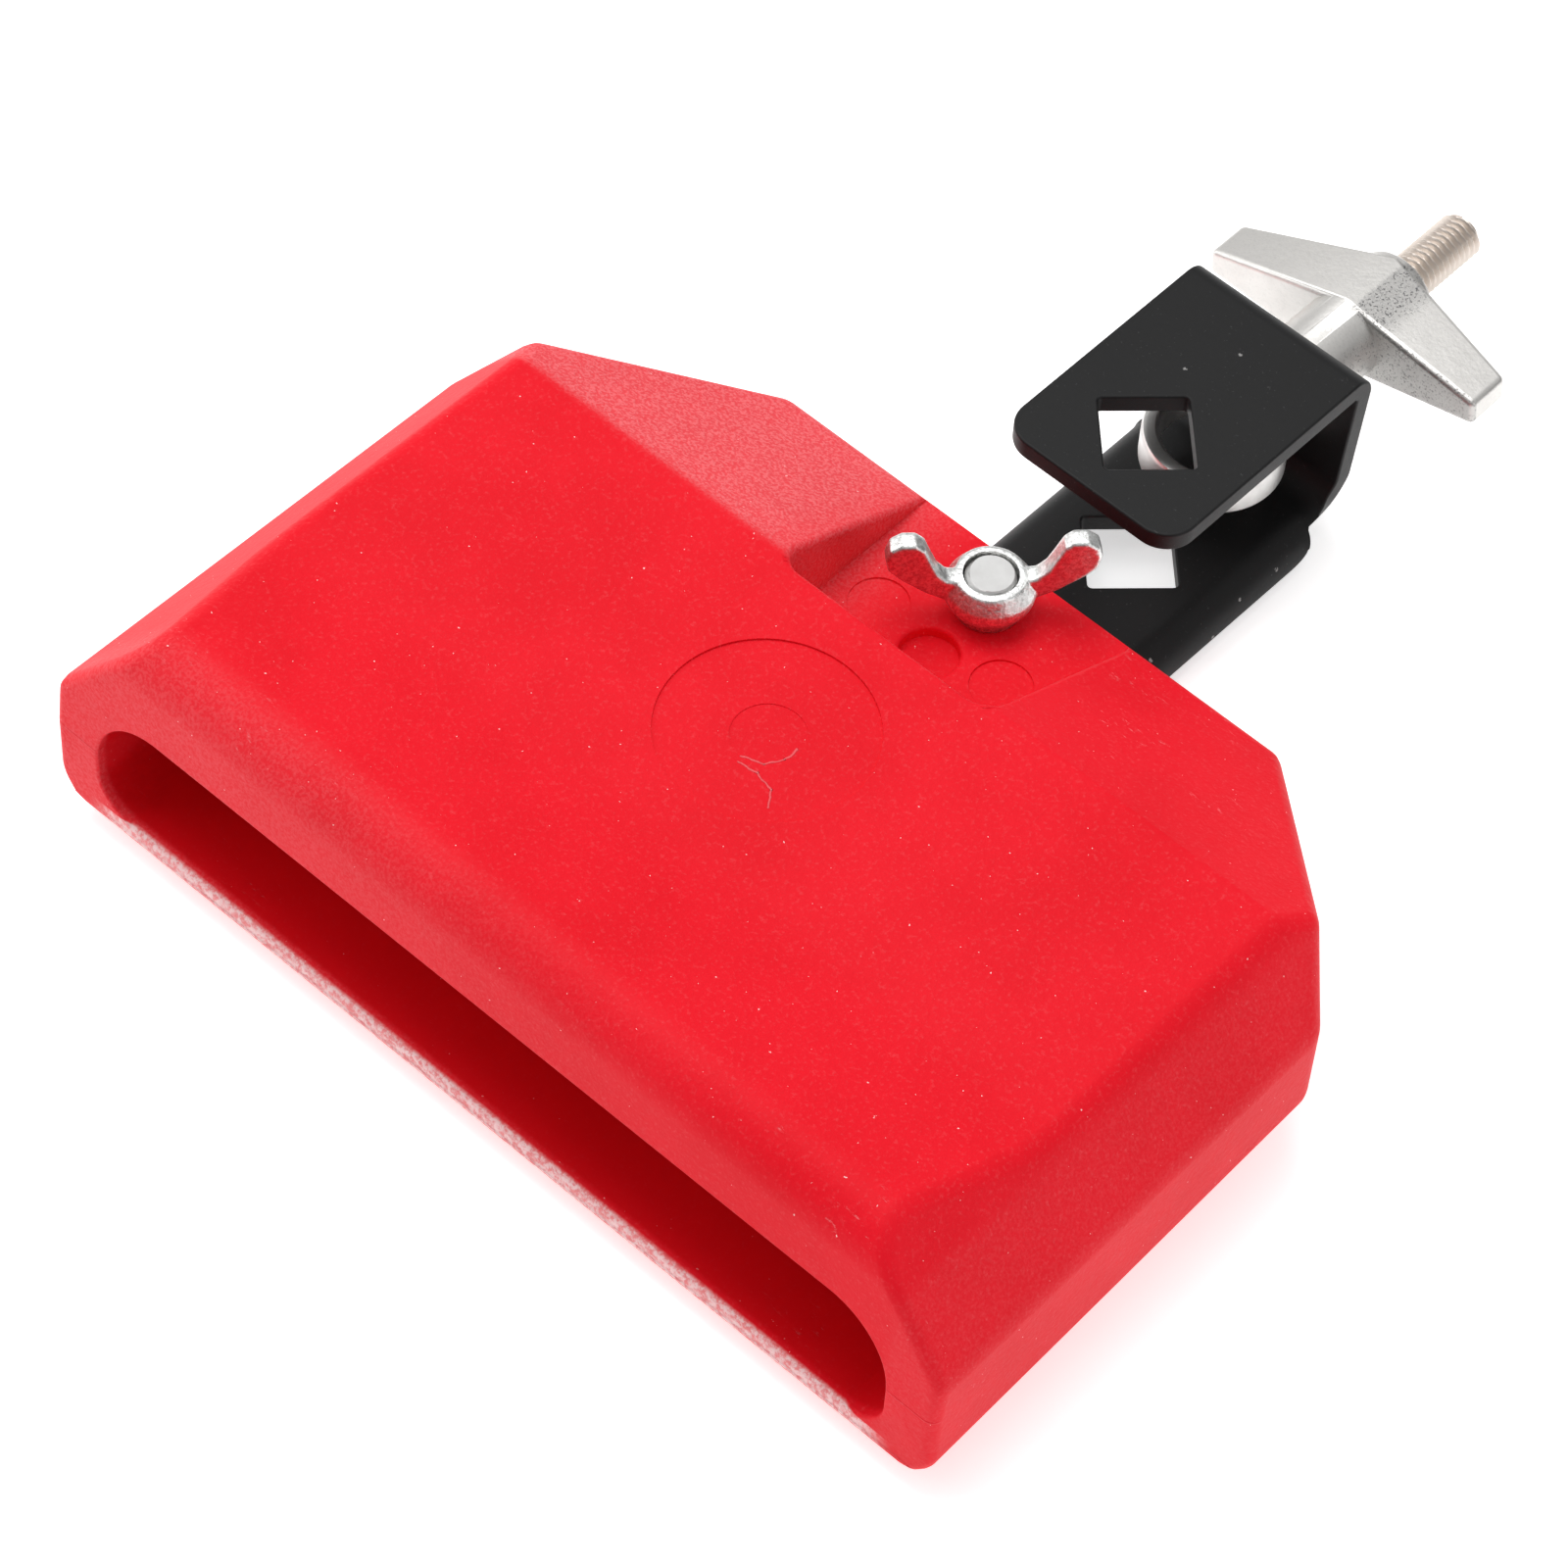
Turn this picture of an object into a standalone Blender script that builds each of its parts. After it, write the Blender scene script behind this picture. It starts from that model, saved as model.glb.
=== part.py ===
"""A moulded plastic jam block on a steel rod clamp.

The block is a hollow percussion block with a long sound slot. A bent steel bracket is bolted
under its tail by a carriage bolt and a wing nut, and holds the rod of a stand between a
square hole in each plate and an eye bolt that a T wing nut draws back.
Units are metres, +Z up, +X along the slot, +Y from the slot towards the clamp.
The origin is the middle of the underside of the whole object's box.
"""
import math

import bmesh
import bpy
from mathutils import Matrix, Vector

MM = 0.001

# Block, from its front face (y = 0), its middle plane (x = 0) and its parting plane (z = 0).
BLOCK_WIDTH = 175.0 * MM
BLOCK_LENGTH = 119.8 * MM
BLOCK_BOTTOM = 12.3 * MM
BLOCK_TOP = 21.6 * MM
REAR_NARROWING = 0.7 * MM
TOP_INSET = 11.9 * MM
TAIL_INSET = 38.0 * MM
BAND_TOP = 8.0 * MM
RIDGE_SETBACK = 2.8 * MM
RIDGE_HEIGHT = 28.9 * MM
RIDGE_RADIUS = 8.0 * MM
CREASE_Y = 33.0 * MM
CREASE_RADIUS = 40.0 * MM
BEVEL_LENGTH = 33.9 * MM
TAIL_EDGE_HEIGHT = 5.5 * MM
CORNER_CUT_LENGTH = 36.3 * MM
FLAT_UNDERSIDE_LENGTH = 37.8 * MM
LIP_BOTTOM = 17.6 * MM
LIP_SETBACK = 1.1 * MM
SIDE_LOWER_RADIUS = 8.0 * MM
EDGE_FILLET = 2.0 * MM

# Sound slot, open at the front face, and the cavity behind it, which narrows to its back.
SLOT_SIDE_WALL = 9.15 * MM
SLOT_TOP = 11.0 * MM
SLOT_BOTTOM = 12.3 * MM
SLOT_UPPER_RADIUS = 12.0 * MM
SLOT_LOWER_RADIUS = 7.0 * MM
CAVITY_BACK_WALL = 7.5 * MM
CAVITY_BACK_SHARE = 0.72

# Sunken seat for the block's wing nut, open at the back edge.
SEAT_LENGTH = 34.6 * MM
SEAT_WIDTH = 41.0 * MM
SEAT_CORNER_RADIUS = 4.0 * MM
SEAT_FLOOR_BELOW_TAIL_EDGE = 0.3 * MM
DISH_RADIUS = 4.6 * MM
DISH_DEPTH = 1.6 * MM
DISH_FROM_SEAT_FRONT = 12.3 * MM

# Fastener that holds the bracket under the block.
BOLT_FROM_TAIL = 9.8 * MM
BOLT_DIAMETER = 8.0 * MM
BOLT_HOLE_CLEARANCE = 0.6 * MM
NECK_OVER_BOLT = 0.4 * MM
NECK_CLEARANCE = 0.35 * MM
BOLT_HEAD_RIM = 5.8 * MM
BOLT_HEAD_HEIGHT = 4.2 * MM
NUT_FOOT_WALL = 1.3 * MM
NUT_BELLY_WALL = 3.1 * MM
NUT_CROWN_WALL = 1.6 * MM
NUT_FOOT_HEIGHT = 1.5 * MM
NUT_BELLY_HEIGHT = 4.4 * MM
NUT_HUB_HEIGHT = 7.9 * MM
NUT_EDGE_ROUND = 0.4 * MM
NUT_EAR_REACH = 9.2 * MM
NUT_EAR_FOOT = 3.4 * MM
NUT_EAR_KNEE = 10.2 * MM
NUT_EAR_HEIGHT = 16.0 * MM
NUT_EAR_CREST_LENGTH = 5.2 * MM
NUT_EAR_CREST_RISE = 1.0 * MM
NUT_EAR_CORNER_RADIUS = 2.3 * MM
NUT_EAR_THICKNESS = 3.0 * MM
NUT_EAR_FILLET = 0.9 * MM
NUT_EAR_TURN_DEG = 46.0

# Bracket strip.
PLATE_THICKNESS = 3.5 * MM
PLATE_WIDTH = 34.3 * MM
PLATE_LENGTH = 48.8 * MM
PLATE_GAP = 25.1 * MM
PLATE_CORNER_RADIUS = 5.5 * MM
LEG_WIDTH = 36.4 * MM
WEB_FROM_BOLT = 69.8 * MM
LEG_AHEAD_OF_BOLT = 17.0 * MM
UPPER_BEND_INNER_RADIUS = 0.8 * MM
LOWER_BEND_INNER_RADIUS = 5.0 * MM
EDGE_ROLL_INNER_RADIUS = 2.3 * MM
ROLL_END_BEFORE_BEND = 0.5 * MM
ROLL_END_LENGTH = 6.2 * MM
NECK_WIDTH = 31.6 * MM
WEB_FOOT_WIDTH = 32.4 * MM

# Rod clamp.
ROD_HOLE_SIDE = 14.2 * MM
ROD_HOLE_FROM_WEB = 34.1 * MM
STUD_DIAMETER = 8.0 * MM
STUD_HOLE_CLEARANCE = 0.5 * MM
STUD_BELOW_MIDDLE = 2.3 * MM
STUD_BEYOND_WEB = 47.2 * MM
EYE_INNER_DIAMETER = 17.2 * MM
EYE_WALL = 3.0 * MM
EYE_HEIGHT = 7.0 * MM
EYE_EDGE_CHAMFER = 0.8 * MM
THREAD_END_CHAMFER = 0.6 * MM

# Clamp wing nut.
CLAMP_NUT_WALL = 3.2 * MM
CLAMP_NUT_LENGTH = 30.4 * MM
WING_SPAN = 53.4 * MM
WING_TURN_DEG = -6.0
WING_ROOT_NEAR = 16.5 * MM
WING_ROOT_FAR = 30.1 * MM
WING_TIP_NEAR = 15.7 * MM
WING_TIP_FAR = 23.9 * MM
WING_ROOT_COVER = 0.2 * MM
WING_TIP_THICKNESS = 4.6 * MM
WING_EDGE_FILLET = 1.0 * MM

# Clearances between neighbours.
TOUCH_GAP = 0.3 * MM
THREAD_CLEARANCE = 0.3 * MM

# Places worked out from the sizes above.
BOLT_Y = BLOCK_LENGTH - BOLT_FROM_TAIL
SEAT_FRONT_Y = BLOCK_LENGTH - SEAT_LENGTH
SEAT_FLOOR_Z = TAIL_EDGE_HEIGHT - SEAT_FLOOR_BELOW_TAIL_EDGE
NUT_BASE_Z = SEAT_FLOOR_Z + TOUCH_GAP
LEG_TOP_Z = -BLOCK_BOTTOM - TOUCH_GAP
LEG_UNDERSIDE_Z = LEG_TOP_Z - PLATE_THICKNESS
PLATE_UNDERSIDE_Z = LEG_TOP_Z + PLATE_GAP
BOLT_HEAD_TOP_Z = LEG_UNDERSIDE_Z - TOUCH_GAP
LOWEST_Z = BOLT_HEAD_TOP_Z - BOLT_HEAD_HEIGHT
WEB_OUTER_Y = BOLT_Y + WEB_FROM_BOLT
STUD_TIP_Y = WEB_OUTER_Y + STUD_BEYOND_WEB
STUD_Z = LEG_TOP_Z + PLATE_GAP / 2.0 - STUD_BELOW_MIDDLE
SLOT_DEPTH = SEAT_FRONT_Y - CAVITY_BACK_WALL

# How finely curves are cut.
ARC_STEPS = 6
ROUND_STEPS = 32
LOWER_SIDE_FACETS = 3
CUT_OVERRUN = 4.0 * MM


def clear_scene():
    """Remove whatever the open file holds."""
    for item in list(bpy.data.objects):
        bpy.data.objects.remove(item, do_unlink=True)


def collection(name):
    """A new collection in the scene."""
    group = bpy.data.collections.new(name)
    bpy.context.scene.collection.children.link(group)
    return group


def material(name, colour, roughness, metallic):
    """A Principled material of one colour."""
    finish = bpy.data.materials.new(name)
    finish.use_nodes = True
    shader = finish.node_tree.nodes["Principled BSDF"]
    shader.inputs["Base Color"].default_value = (*colour, 1.0)
    shader.inputs["Roughness"].default_value = roughness
    shader.inputs["Metallic"].default_value = metallic
    finish.diffuse_color = (*colour, 1.0)
    return finish


def empty(name, location, parent):
    """An empty that carries the pieces of one axis."""
    holder = bpy.data.objects.new(name, None)
    holder.location = location
    holder.parent = parent
    parts.objects.link(holder)
    return holder


def piece(name, mesh, parent, finish):
    """A named sub-part made from a mesh."""
    item = bpy.data.objects.new(name, mesh)
    item.parent = parent
    mesh.materials.clear()
    mesh.materials.append(finish)
    parts.objects.link(item)
    return item


def tool(name, mesh, parent):
    """A body that cuts a piece or is joined to it."""
    item = bpy.data.objects.new(name, mesh)
    item.parent = parent
    item.hide_render = True
    item.display_type = "WIRE"
    cutters.objects.link(item)
    return item


def combine(target, other, operation):
    """Cut a piece with another body, or join the body to it."""
    step = target.modifiers.new(other.name, "BOOLEAN")
    step.operation = operation
    step.solver = "EXACT"
    step.object = other


def to_mesh(name, bm):
    """A mesh from finished bmesh data, with its normals pointing out."""
    bmesh.ops.recalc_face_normals(bm, faces=bm.faces)
    mesh = bpy.data.meshes.new(name)
    bm.to_mesh(mesh)
    bm.free()
    return mesh


def rounded(corners):
    """Outline points of a polygon whose corners (a, b, radius) are replaced by arcs."""
    points = []
    for index, (a, b, radius) in enumerate(corners):
        corner = Vector((a, b))
        before = Vector(corners[index - 1][:2]) - corner
        after = Vector(corners[(index + 1) % len(corners)][:2]) - corner
        if radius <= 0.0:
            points.append(corner)
            continue
        half_angle = before.angle(after) / 2.0
        reach = radius / math.tan(half_angle)
        start = corner + before.normalized() * reach
        bisector = (before.normalized() + after.normalized()).normalized()
        centre = corner + bisector * (radius / math.sin(half_angle))
        turn = math.pi - 2.0 * half_angle
        if before.x * after.y - before.y * after.x > 0.0:
            turn = -turn
        arm = start - centre
        for step in range(ARC_STEPS + 1):
            points.append(centre + Matrix.Rotation(turn * step / ARC_STEPS, 2) @ arm)
    return points


def slab(name, outline, low, high):
    """A flat outline in the XY plane, filled and thickened from z = low to z = high."""
    curve = bpy.data.curves.new(name, "CURVE")
    curve.dimensions = "2D"
    curve.fill_mode = "BOTH"
    curve.extrude = (high - low) / 2.0
    line = curve.splines.new("POLY")
    line.points.add(len(outline) - 1)
    for point, place in zip(line.points, outline):
        point.co = (place[0], place[1], 0.0, 1.0)
    line.use_cyclic_u = True
    item = bpy.data.objects.new(name, curve)
    cutters.objects.link(item)
    graph = bpy.context.evaluated_depsgraph_get()
    mesh = bpy.data.meshes.new_from_object(item.evaluated_get(graph))
    bpy.data.objects.remove(item)
    bm = bmesh.new()
    bm.from_mesh(mesh)
    bpy.data.meshes.remove(mesh)
    bmesh.ops.remove_doubles(bm, verts=bm.verts, dist=0.00001)
    bmesh.ops.dissolve_limit(bm, angle_limit=0.01, verts=bm.verts, edges=bm.edges)
    bmesh.ops.translate(bm, verts=bm.verts, vec=(0.0, 0.0, (low + high) / 2.0))
    return bm


def rod(radius, low, high, tip_chamfer):
    """A round bar along Z with its upper end chamfered, as a turned profile."""
    bm = bmesh.new()
    profile = [(0.0, high), (radius - tip_chamfer, high), (radius, high - tip_chamfer)]
    profile += [(radius, low), (0.0, low)]
    return turned(bm, profile)


def turned(bm, profile):
    """Spin an (r, z) profile about Z into a closed body. It runs down the outer side."""
    chain = [bm.verts.new((r, 0.0, z)) for r, z in profile]
    edges = [bm.edges.new(pair) for pair in zip(chain, chain[1:])]
    if profile[0][0] > 0.0:
        edges.append(bm.edges.new((chain[-1], chain[0])))
    bmesh.ops.spin(bm, geom=chain + edges, cent=(0.0, 0.0, 0.0), axis=(0.0, 0.0, 1.0),
                   angle=2.0 * math.pi, steps=ROUND_STEPS, use_merge=True)
    bmesh.ops.remove_doubles(bm, verts=bm.verts, dist=0.00001)
    return bm


def along_y(bm):
    """Stand a body made along Z so that it lies along Y, its top towards +Y."""
    bmesh.ops.transform(bm, verts=bm.verts, matrix=Matrix.Rotation(-math.pi / 2.0, 4, "X"))
    return bm


def keep_behind(bm, point, normal):
    """Cut a flat facet: drop what lies past the plane, and close the cut."""
    geometry = bm.verts[:] + bm.edges[:] + bm.faces[:]
    bmesh.ops.bisect_plane(bm, geom=geometry, plane_co=point, plane_no=normal, clear_outer=True)
    open_edges = [edge for edge in bm.edges if edge.is_boundary]
    bmesh.ops.holes_fill(bm, edges=open_edges)


def plane_normal(first, second, third):
    """Unit normal of the plane through three points."""
    return (Vector(second) - Vector(first)).cross(Vector(third) - Vector(first)).normalized()


def block_blank():
    """The block's outer form: its side profile thickened across, then cut by its side facets."""
    profile = [
        (0.0, -SLOT_BOTTOM, 0.0),
        (LIP_SETBACK, -LIP_BOTTOM, 0.0),
        (BLOCK_LENGTH - FLAT_UNDERSIDE_LENGTH, -BLOCK_BOTTOM, 0.0),
        (BLOCK_LENGTH, -BLOCK_BOTTOM, 0.0),
        (BLOCK_LENGTH, TAIL_EDGE_HEIGHT, 0.0),
        (BLOCK_LENGTH - BEVEL_LENGTH, BLOCK_TOP, 0.0),
        (CREASE_Y, BLOCK_TOP, CREASE_RADIUS),
        (RIDGE_SETBACK, RIDGE_HEIGHT, RIDGE_RADIUS),
        (0.0, 0.0, 0.0),
    ]
    bm = slab("block_profile", rounded(profile), -BLOCK_WIDTH, BLOCK_WIDTH)
    across = Matrix(((0, 0, 1, 0), (1, 0, 0, 0), (0, 1, 0, 0), (0, 0, 0, 1)))
    bmesh.ops.transform(bm, verts=bm.verts, matrix=across)
    half = BLOCK_WIDTH / 2.0
    corner_y = BLOCK_LENGTH - CORNER_CUT_LENGTH
    for side in (-1.0, 1.0):
        band_front = (side * half, 0.0, BAND_TOP)
        band_rear = (side * (half - REAR_NARROWING), corner_y, BAND_TOP)
        top_edge = (side * (half - TOP_INSET), CREASE_Y, BLOCK_TOP)
        tail_corner = (side * (half - TAIL_INSET), BLOCK_LENGTH, BAND_TOP)
        band_rear_low = (band_rear[0], band_rear[1], -BAND_TOP)
        for trio in ((band_front, band_rear, top_edge), (band_front, band_rear_low, band_rear),
                     (band_rear, band_rear_low, tail_corner)):
            normal = plane_normal(*trio)
            if normal.x * side < 0.0:
                normal = -normal
            keep_behind(bm, trio[0], normal)
    return bm


def round_lower_sides(bm):
    """Take the lower side edges off with facets that touch one wide radius."""
    slope = (LIP_BOTTOM - BLOCK_BOTTOM) / (BLOCK_LENGTH - FLAT_UNDERSIDE_LENGTH)
    for side in (-1.0, 1.0):
        for step in range(1, LOWER_SIDE_FACETS + 1):
            turn = math.pi / 2.0 * step / (LOWER_SIDE_FACETS + 1)
            out = Vector((side * math.cos(turn), 0.0, -math.sin(turn)))
            middle = Vector((side * (BLOCK_WIDTH / 2.0 - SIDE_LOWER_RADIUS), 0.0,
                             SIDE_LOWER_RADIUS - LIP_BOTTOM))
            normal = out + Vector((0.0, slope * math.sin(turn), 0.0))
            keep_behind(bm, middle + out * SIDE_LOWER_RADIUS, normal.normalized())


def mark_fillets(bm):
    """Mark the sharp outer edges that are rounded."""
    weight = bm.edges.layers.float.new("bevel_weight_edge")
    for edge in bm.edges:
        if edge.calc_face_angle(0.0) > math.radians(24.0):
            edge[weight] = 1.0


def slot_core():
    """The slot's outline run back into the block, narrowing to the cavity's back wall."""
    half = BLOCK_WIDTH / 2.0 - SLOT_SIDE_WALL
    mouth = [(-half, -SLOT_BOTTOM, SLOT_LOWER_RADIUS), (half, -SLOT_BOTTOM, SLOT_LOWER_RADIUS),
             (half, SLOT_TOP, SLOT_UPPER_RADIUS), (-half, SLOT_TOP, SLOT_UPPER_RADIUS)]
    bm = slab("slot_cutter", rounded(mouth), -SLOT_DEPTH, CUT_OVERRUN)
    for vert in bm.verts:
        if vert.co.z < 0.0:
            vert.co.y *= CAVITY_BACK_SHARE
    bmesh.ops.transform(bm, verts=bm.verts, matrix=Matrix.Rotation(math.pi / 2.0, 4, "X"))
    return bm


def make_block_body():
    """The moulded block with its sound slot, wing nut seat and bolt hole."""
    bm = block_blank()
    round_lower_sides(bm)
    mark_fillets(bm)
    body = piece("block_body", to_mesh("block_body", bm), datum, red_plastic)
    fillet = body.modifiers.new("edge_fillets", "BEVEL")
    fillet.limit_method = "WEIGHT"
    fillet.width = EDGE_FILLET
    fillet.segments = 3
    fillet.use_clamp_overlap = False

    combine(body, tool("slot_cutter", to_mesh("slot_cutter", slot_core()), datum), "DIFFERENCE")

    half = SEAT_WIDTH / 2.0
    rear = BLOCK_LENGTH + CUT_OVERRUN
    plan = [(-half, SEAT_FRONT_Y, SEAT_CORNER_RADIUS), (half, SEAT_FRONT_Y, SEAT_CORNER_RADIUS),
            (half, rear, 0.0), (-half, rear, 0.0)]
    bm = slab("seat_cutter", rounded(plan), SEAT_FLOOR_Z, BLOCK_TOP + CUT_OVERRUN)
    combine(body, tool("seat_cutter", to_mesh("seat_cutter", bm), datum), "DIFFERENCE")

    hole = rod(BOLT_DIAMETER / 2.0 + BOLT_HOLE_CLEARANCE, -BLOCK_BOTTOM - CUT_OVERRUN,
               SEAT_FLOOR_Z + CUT_OVERRUN, 0.0)
    bmesh.ops.translate(hole, verts=hole.verts, vec=(0.0, BOLT_Y, 0.0))
    combine(body, tool("bolt_hole_cutter", to_mesh("bolt_hole_cutter", hole), datum), "DIFFERENCE")

    dish = rod(DISH_RADIUS, SEAT_FLOOR_Z - DISH_DEPTH, SEAT_FLOOR_Z + CUT_OVERRUN, 0.0)
    bmesh.ops.translate(dish, verts=dish.verts,
                        vec=(0.0, SEAT_FRONT_Y + DISH_FROM_SEAT_FRONT, 0.0))
    combine(body, tool("dish_cutter", to_mesh("dish_cutter", dish), datum), "DIFFERENCE")


def eased(share):
    """Smooth 0 to 1 step."""
    share = min(max(share, 0.0), 1.0)
    return share * share * (3.0 - 2.0 * share)


def bracket_stations():
    """The bent strip's middle surface from the leg's front end to the plate's front edge.

    Each station is (y, z, lean, half width, roll): its place from the bolt axis, how far the
    strip's upward side has turned, half the strip's width along its surface, and how much of
    the rolled edge there is.
    """
    half_thick = PLATE_THICKNESS / 2.0
    roll_radius = EDGE_ROLL_INNER_RADIUS + half_thick
    rolled_half = LEG_WIDTH / 2.0 - half_thick - roll_radius + roll_radius * math.pi / 2.0
    leg_z = LEG_TOP_Z - half_thick
    web_y = WEB_FROM_BOLT - half_thick
    lower = LOWER_BEND_INNER_RADIUS + half_thick
    upper = UPPER_BEND_INNER_RADIUS + half_thick
    plate_z = PLATE_UNDERSIDE_Z + half_thick
    stations = [(-LEG_AHEAD_OF_BOLT, leg_z, 0.0, rolled_half, 1.0)]

    roll_end = web_y - lower - ROLL_END_BEFORE_BEND - ROLL_END_LENGTH
    for step in range(ARC_STEPS + 1):
        share = step / ARC_STEPS
        half = rolled_half + (NECK_WIDTH / 2.0 - rolled_half) * (1.0 - math.sqrt(1.0 - share ** 2))
        stations.append((roll_end + ROLL_END_LENGTH * share, leg_z, 0.0, half, 1.0 - share ** 3))

    for step in range(ARC_STEPS + 1):
        turn = math.pi / 2.0 * step / ARC_STEPS
        half = NECK_WIDTH / 2.0
        half += (WEB_FOOT_WIDTH - NECK_WIDTH) / 2.0 * eased(2.0 * step / ARC_STEPS - 1.0)
        stations.append((web_y - lower + lower * math.sin(turn),
                         leg_z + lower - lower * math.cos(turn), turn, half, 0.0))

    for step in range(ARC_STEPS + 1):
        turn = math.pi / 2.0 * step / ARC_STEPS
        stations.append((web_y - upper + upper * math.cos(turn),
                         plate_z - upper + upper * math.sin(turn),
                         math.pi / 2.0 + turn, PLATE_WIDTH / 2.0, 0.0))

    corner_y = WEB_FROM_BOLT - PLATE_LENGTH + PLATE_CORNER_RADIUS
    for step in range(ARC_STEPS + 1):
        turn = math.pi / 2.0 * step / ARC_STEPS
        half = PLATE_WIDTH / 2.0 - PLATE_CORNER_RADIUS * (1.0 - math.cos(turn))
        stations.append((corner_y - PLATE_CORNER_RADIUS * math.sin(turn), plate_z, math.pi, half,
                         0.0))
    return stations


def bracket_sheet():
    """The strip's middle surface, with the leg's long edges rolled down."""
    stations = bracket_stations()
    roll_radius = EDGE_ROLL_INNER_RADIUS + PLATE_THICKNESS / 2.0
    flat_half = LEG_WIDTH / 2.0 - PLATE_THICKNESS / 2.0 - roll_radius
    rolled_half = flat_half + roll_radius * math.pi / 2.0
    columns = [flat_half + (rolled_half - flat_half) * step / ARC_STEPS
               for step in range(ARC_STEPS + 1)]
    shares = [-column / rolled_half for column in reversed(columns)]
    shares += [column / rolled_half for column in columns]
    bm = bmesh.new()
    bmesh.ops.create_grid(bm, x_segments=len(shares) - 1, y_segments=len(stations) - 1, size=1.0)
    for vert in bm.verts:
        column = round((vert.co.x + 1.0) / 2.0 * (len(shares) - 1))
        row = round((vert.co.y + 1.0) / 2.0 * (len(stations) - 1))
        y, z, lean, half, roll = stations[row]
        reach = abs(shares[column]) * half
        side = math.copysign(1.0, shares[column])
        drop = 0.0
        if roll > 0.0 and reach > flat_half:
            radius = roll_radius / roll
            angle = (reach - flat_half) / radius
            reach = flat_half + radius * math.sin(angle)
            drop = radius * (1.0 - math.cos(angle))
        vert.co = (side * reach, y + drop * math.sin(lean), z - drop * math.cos(lean))
    return bm


def make_mounting_bracket():
    """The bent bracket strip, with its rod holes, stud hole and square bolt hole."""
    bm = bracket_sheet()
    bracket = piece("mounting_bracket", to_mesh("mounting_bracket", bm), bolt_axis, black_steel)
    wall = bracket.modifiers.new("plate", "SOLIDIFY")
    wall.thickness = PLATE_THICKNESS
    wall.offset = 0.0
    wall.use_even_offset = True

    rod_y = WEB_FROM_BOLT - ROD_HOLE_FROM_WEB
    reach = ROD_HOLE_SIDE / math.sqrt(2.0)
    diamond = [(-reach, rod_y), (0.0, rod_y - reach), (reach, rod_y), (0.0, rod_y + reach)]
    square = (BOLT_DIAMETER + NECK_OVER_BOLT) / 2.0 + NECK_CLEARANCE
    neck = [(-square, -square), (square, -square), (square, square), (-square, square)]
    high = PLATE_UNDERSIDE_Z + PLATE_THICKNESS + CUT_OVERRUN
    low = LEG_UNDERSIDE_Z - CUT_OVERRUN
    for name, outline, top in (("rod_hole_cutter", diamond, high),
                               ("neck_hole_cutter", neck, LEG_TOP_Z + CUT_OVERRUN)):
        bm = slab(name, outline, low, top)
        combine(bracket, tool(name, to_mesh(name, bm), bolt_axis), "DIFFERENCE")

    bm = along_y(rod(STUD_DIAMETER / 2.0 + STUD_HOLE_CLEARANCE, -PLATE_THICKNESS - CUT_OVERRUN,
                     CUT_OVERRUN, 0.0))
    hole = tool("stud_hole_cutter", to_mesh("stud_hole_cutter", bm), clamp_axis)
    combine(bracket, hole, "DIFFERENCE")


def make_eye_bolt():
    """The eye and its threaded stud, drawn back against the web."""
    outer = EYE_INNER_DIAMETER / 2.0 + EYE_WALL
    inner = EYE_INNER_DIAMETER / 2.0
    half = EYE_HEIGHT / 2.0
    chamfer = EYE_EDGE_CHAMFER
    ring_y = -PLATE_THICKNESS - TOUCH_GAP - outer
    profile = [(inner + chamfer, half), (outer - chamfer, half), (outer, half - chamfer),
               (outer, chamfer - half), (outer - chamfer, -half), (inner + chamfer, -half),
               (inner, chamfer - half), (inner, half - chamfer)]
    bm = turned(bmesh.new(), profile)
    bmesh.ops.translate(bm, verts=bm.verts, vec=(0.0, ring_y, 0.0))
    eye = piece("eye_bolt", to_mesh("eye_bolt", bm), clamp_axis, plated_steel)
    root_y = ring_y + (inner + outer) / 2.0
    bm = along_y(rod(STUD_DIAMETER / 2.0, root_y, STUD_BEYOND_WEB, THREAD_END_CHAMFER))
    combine(eye, tool("stud_bar", to_mesh("stud_bar", bm), clamp_axis), "UNION")


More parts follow.
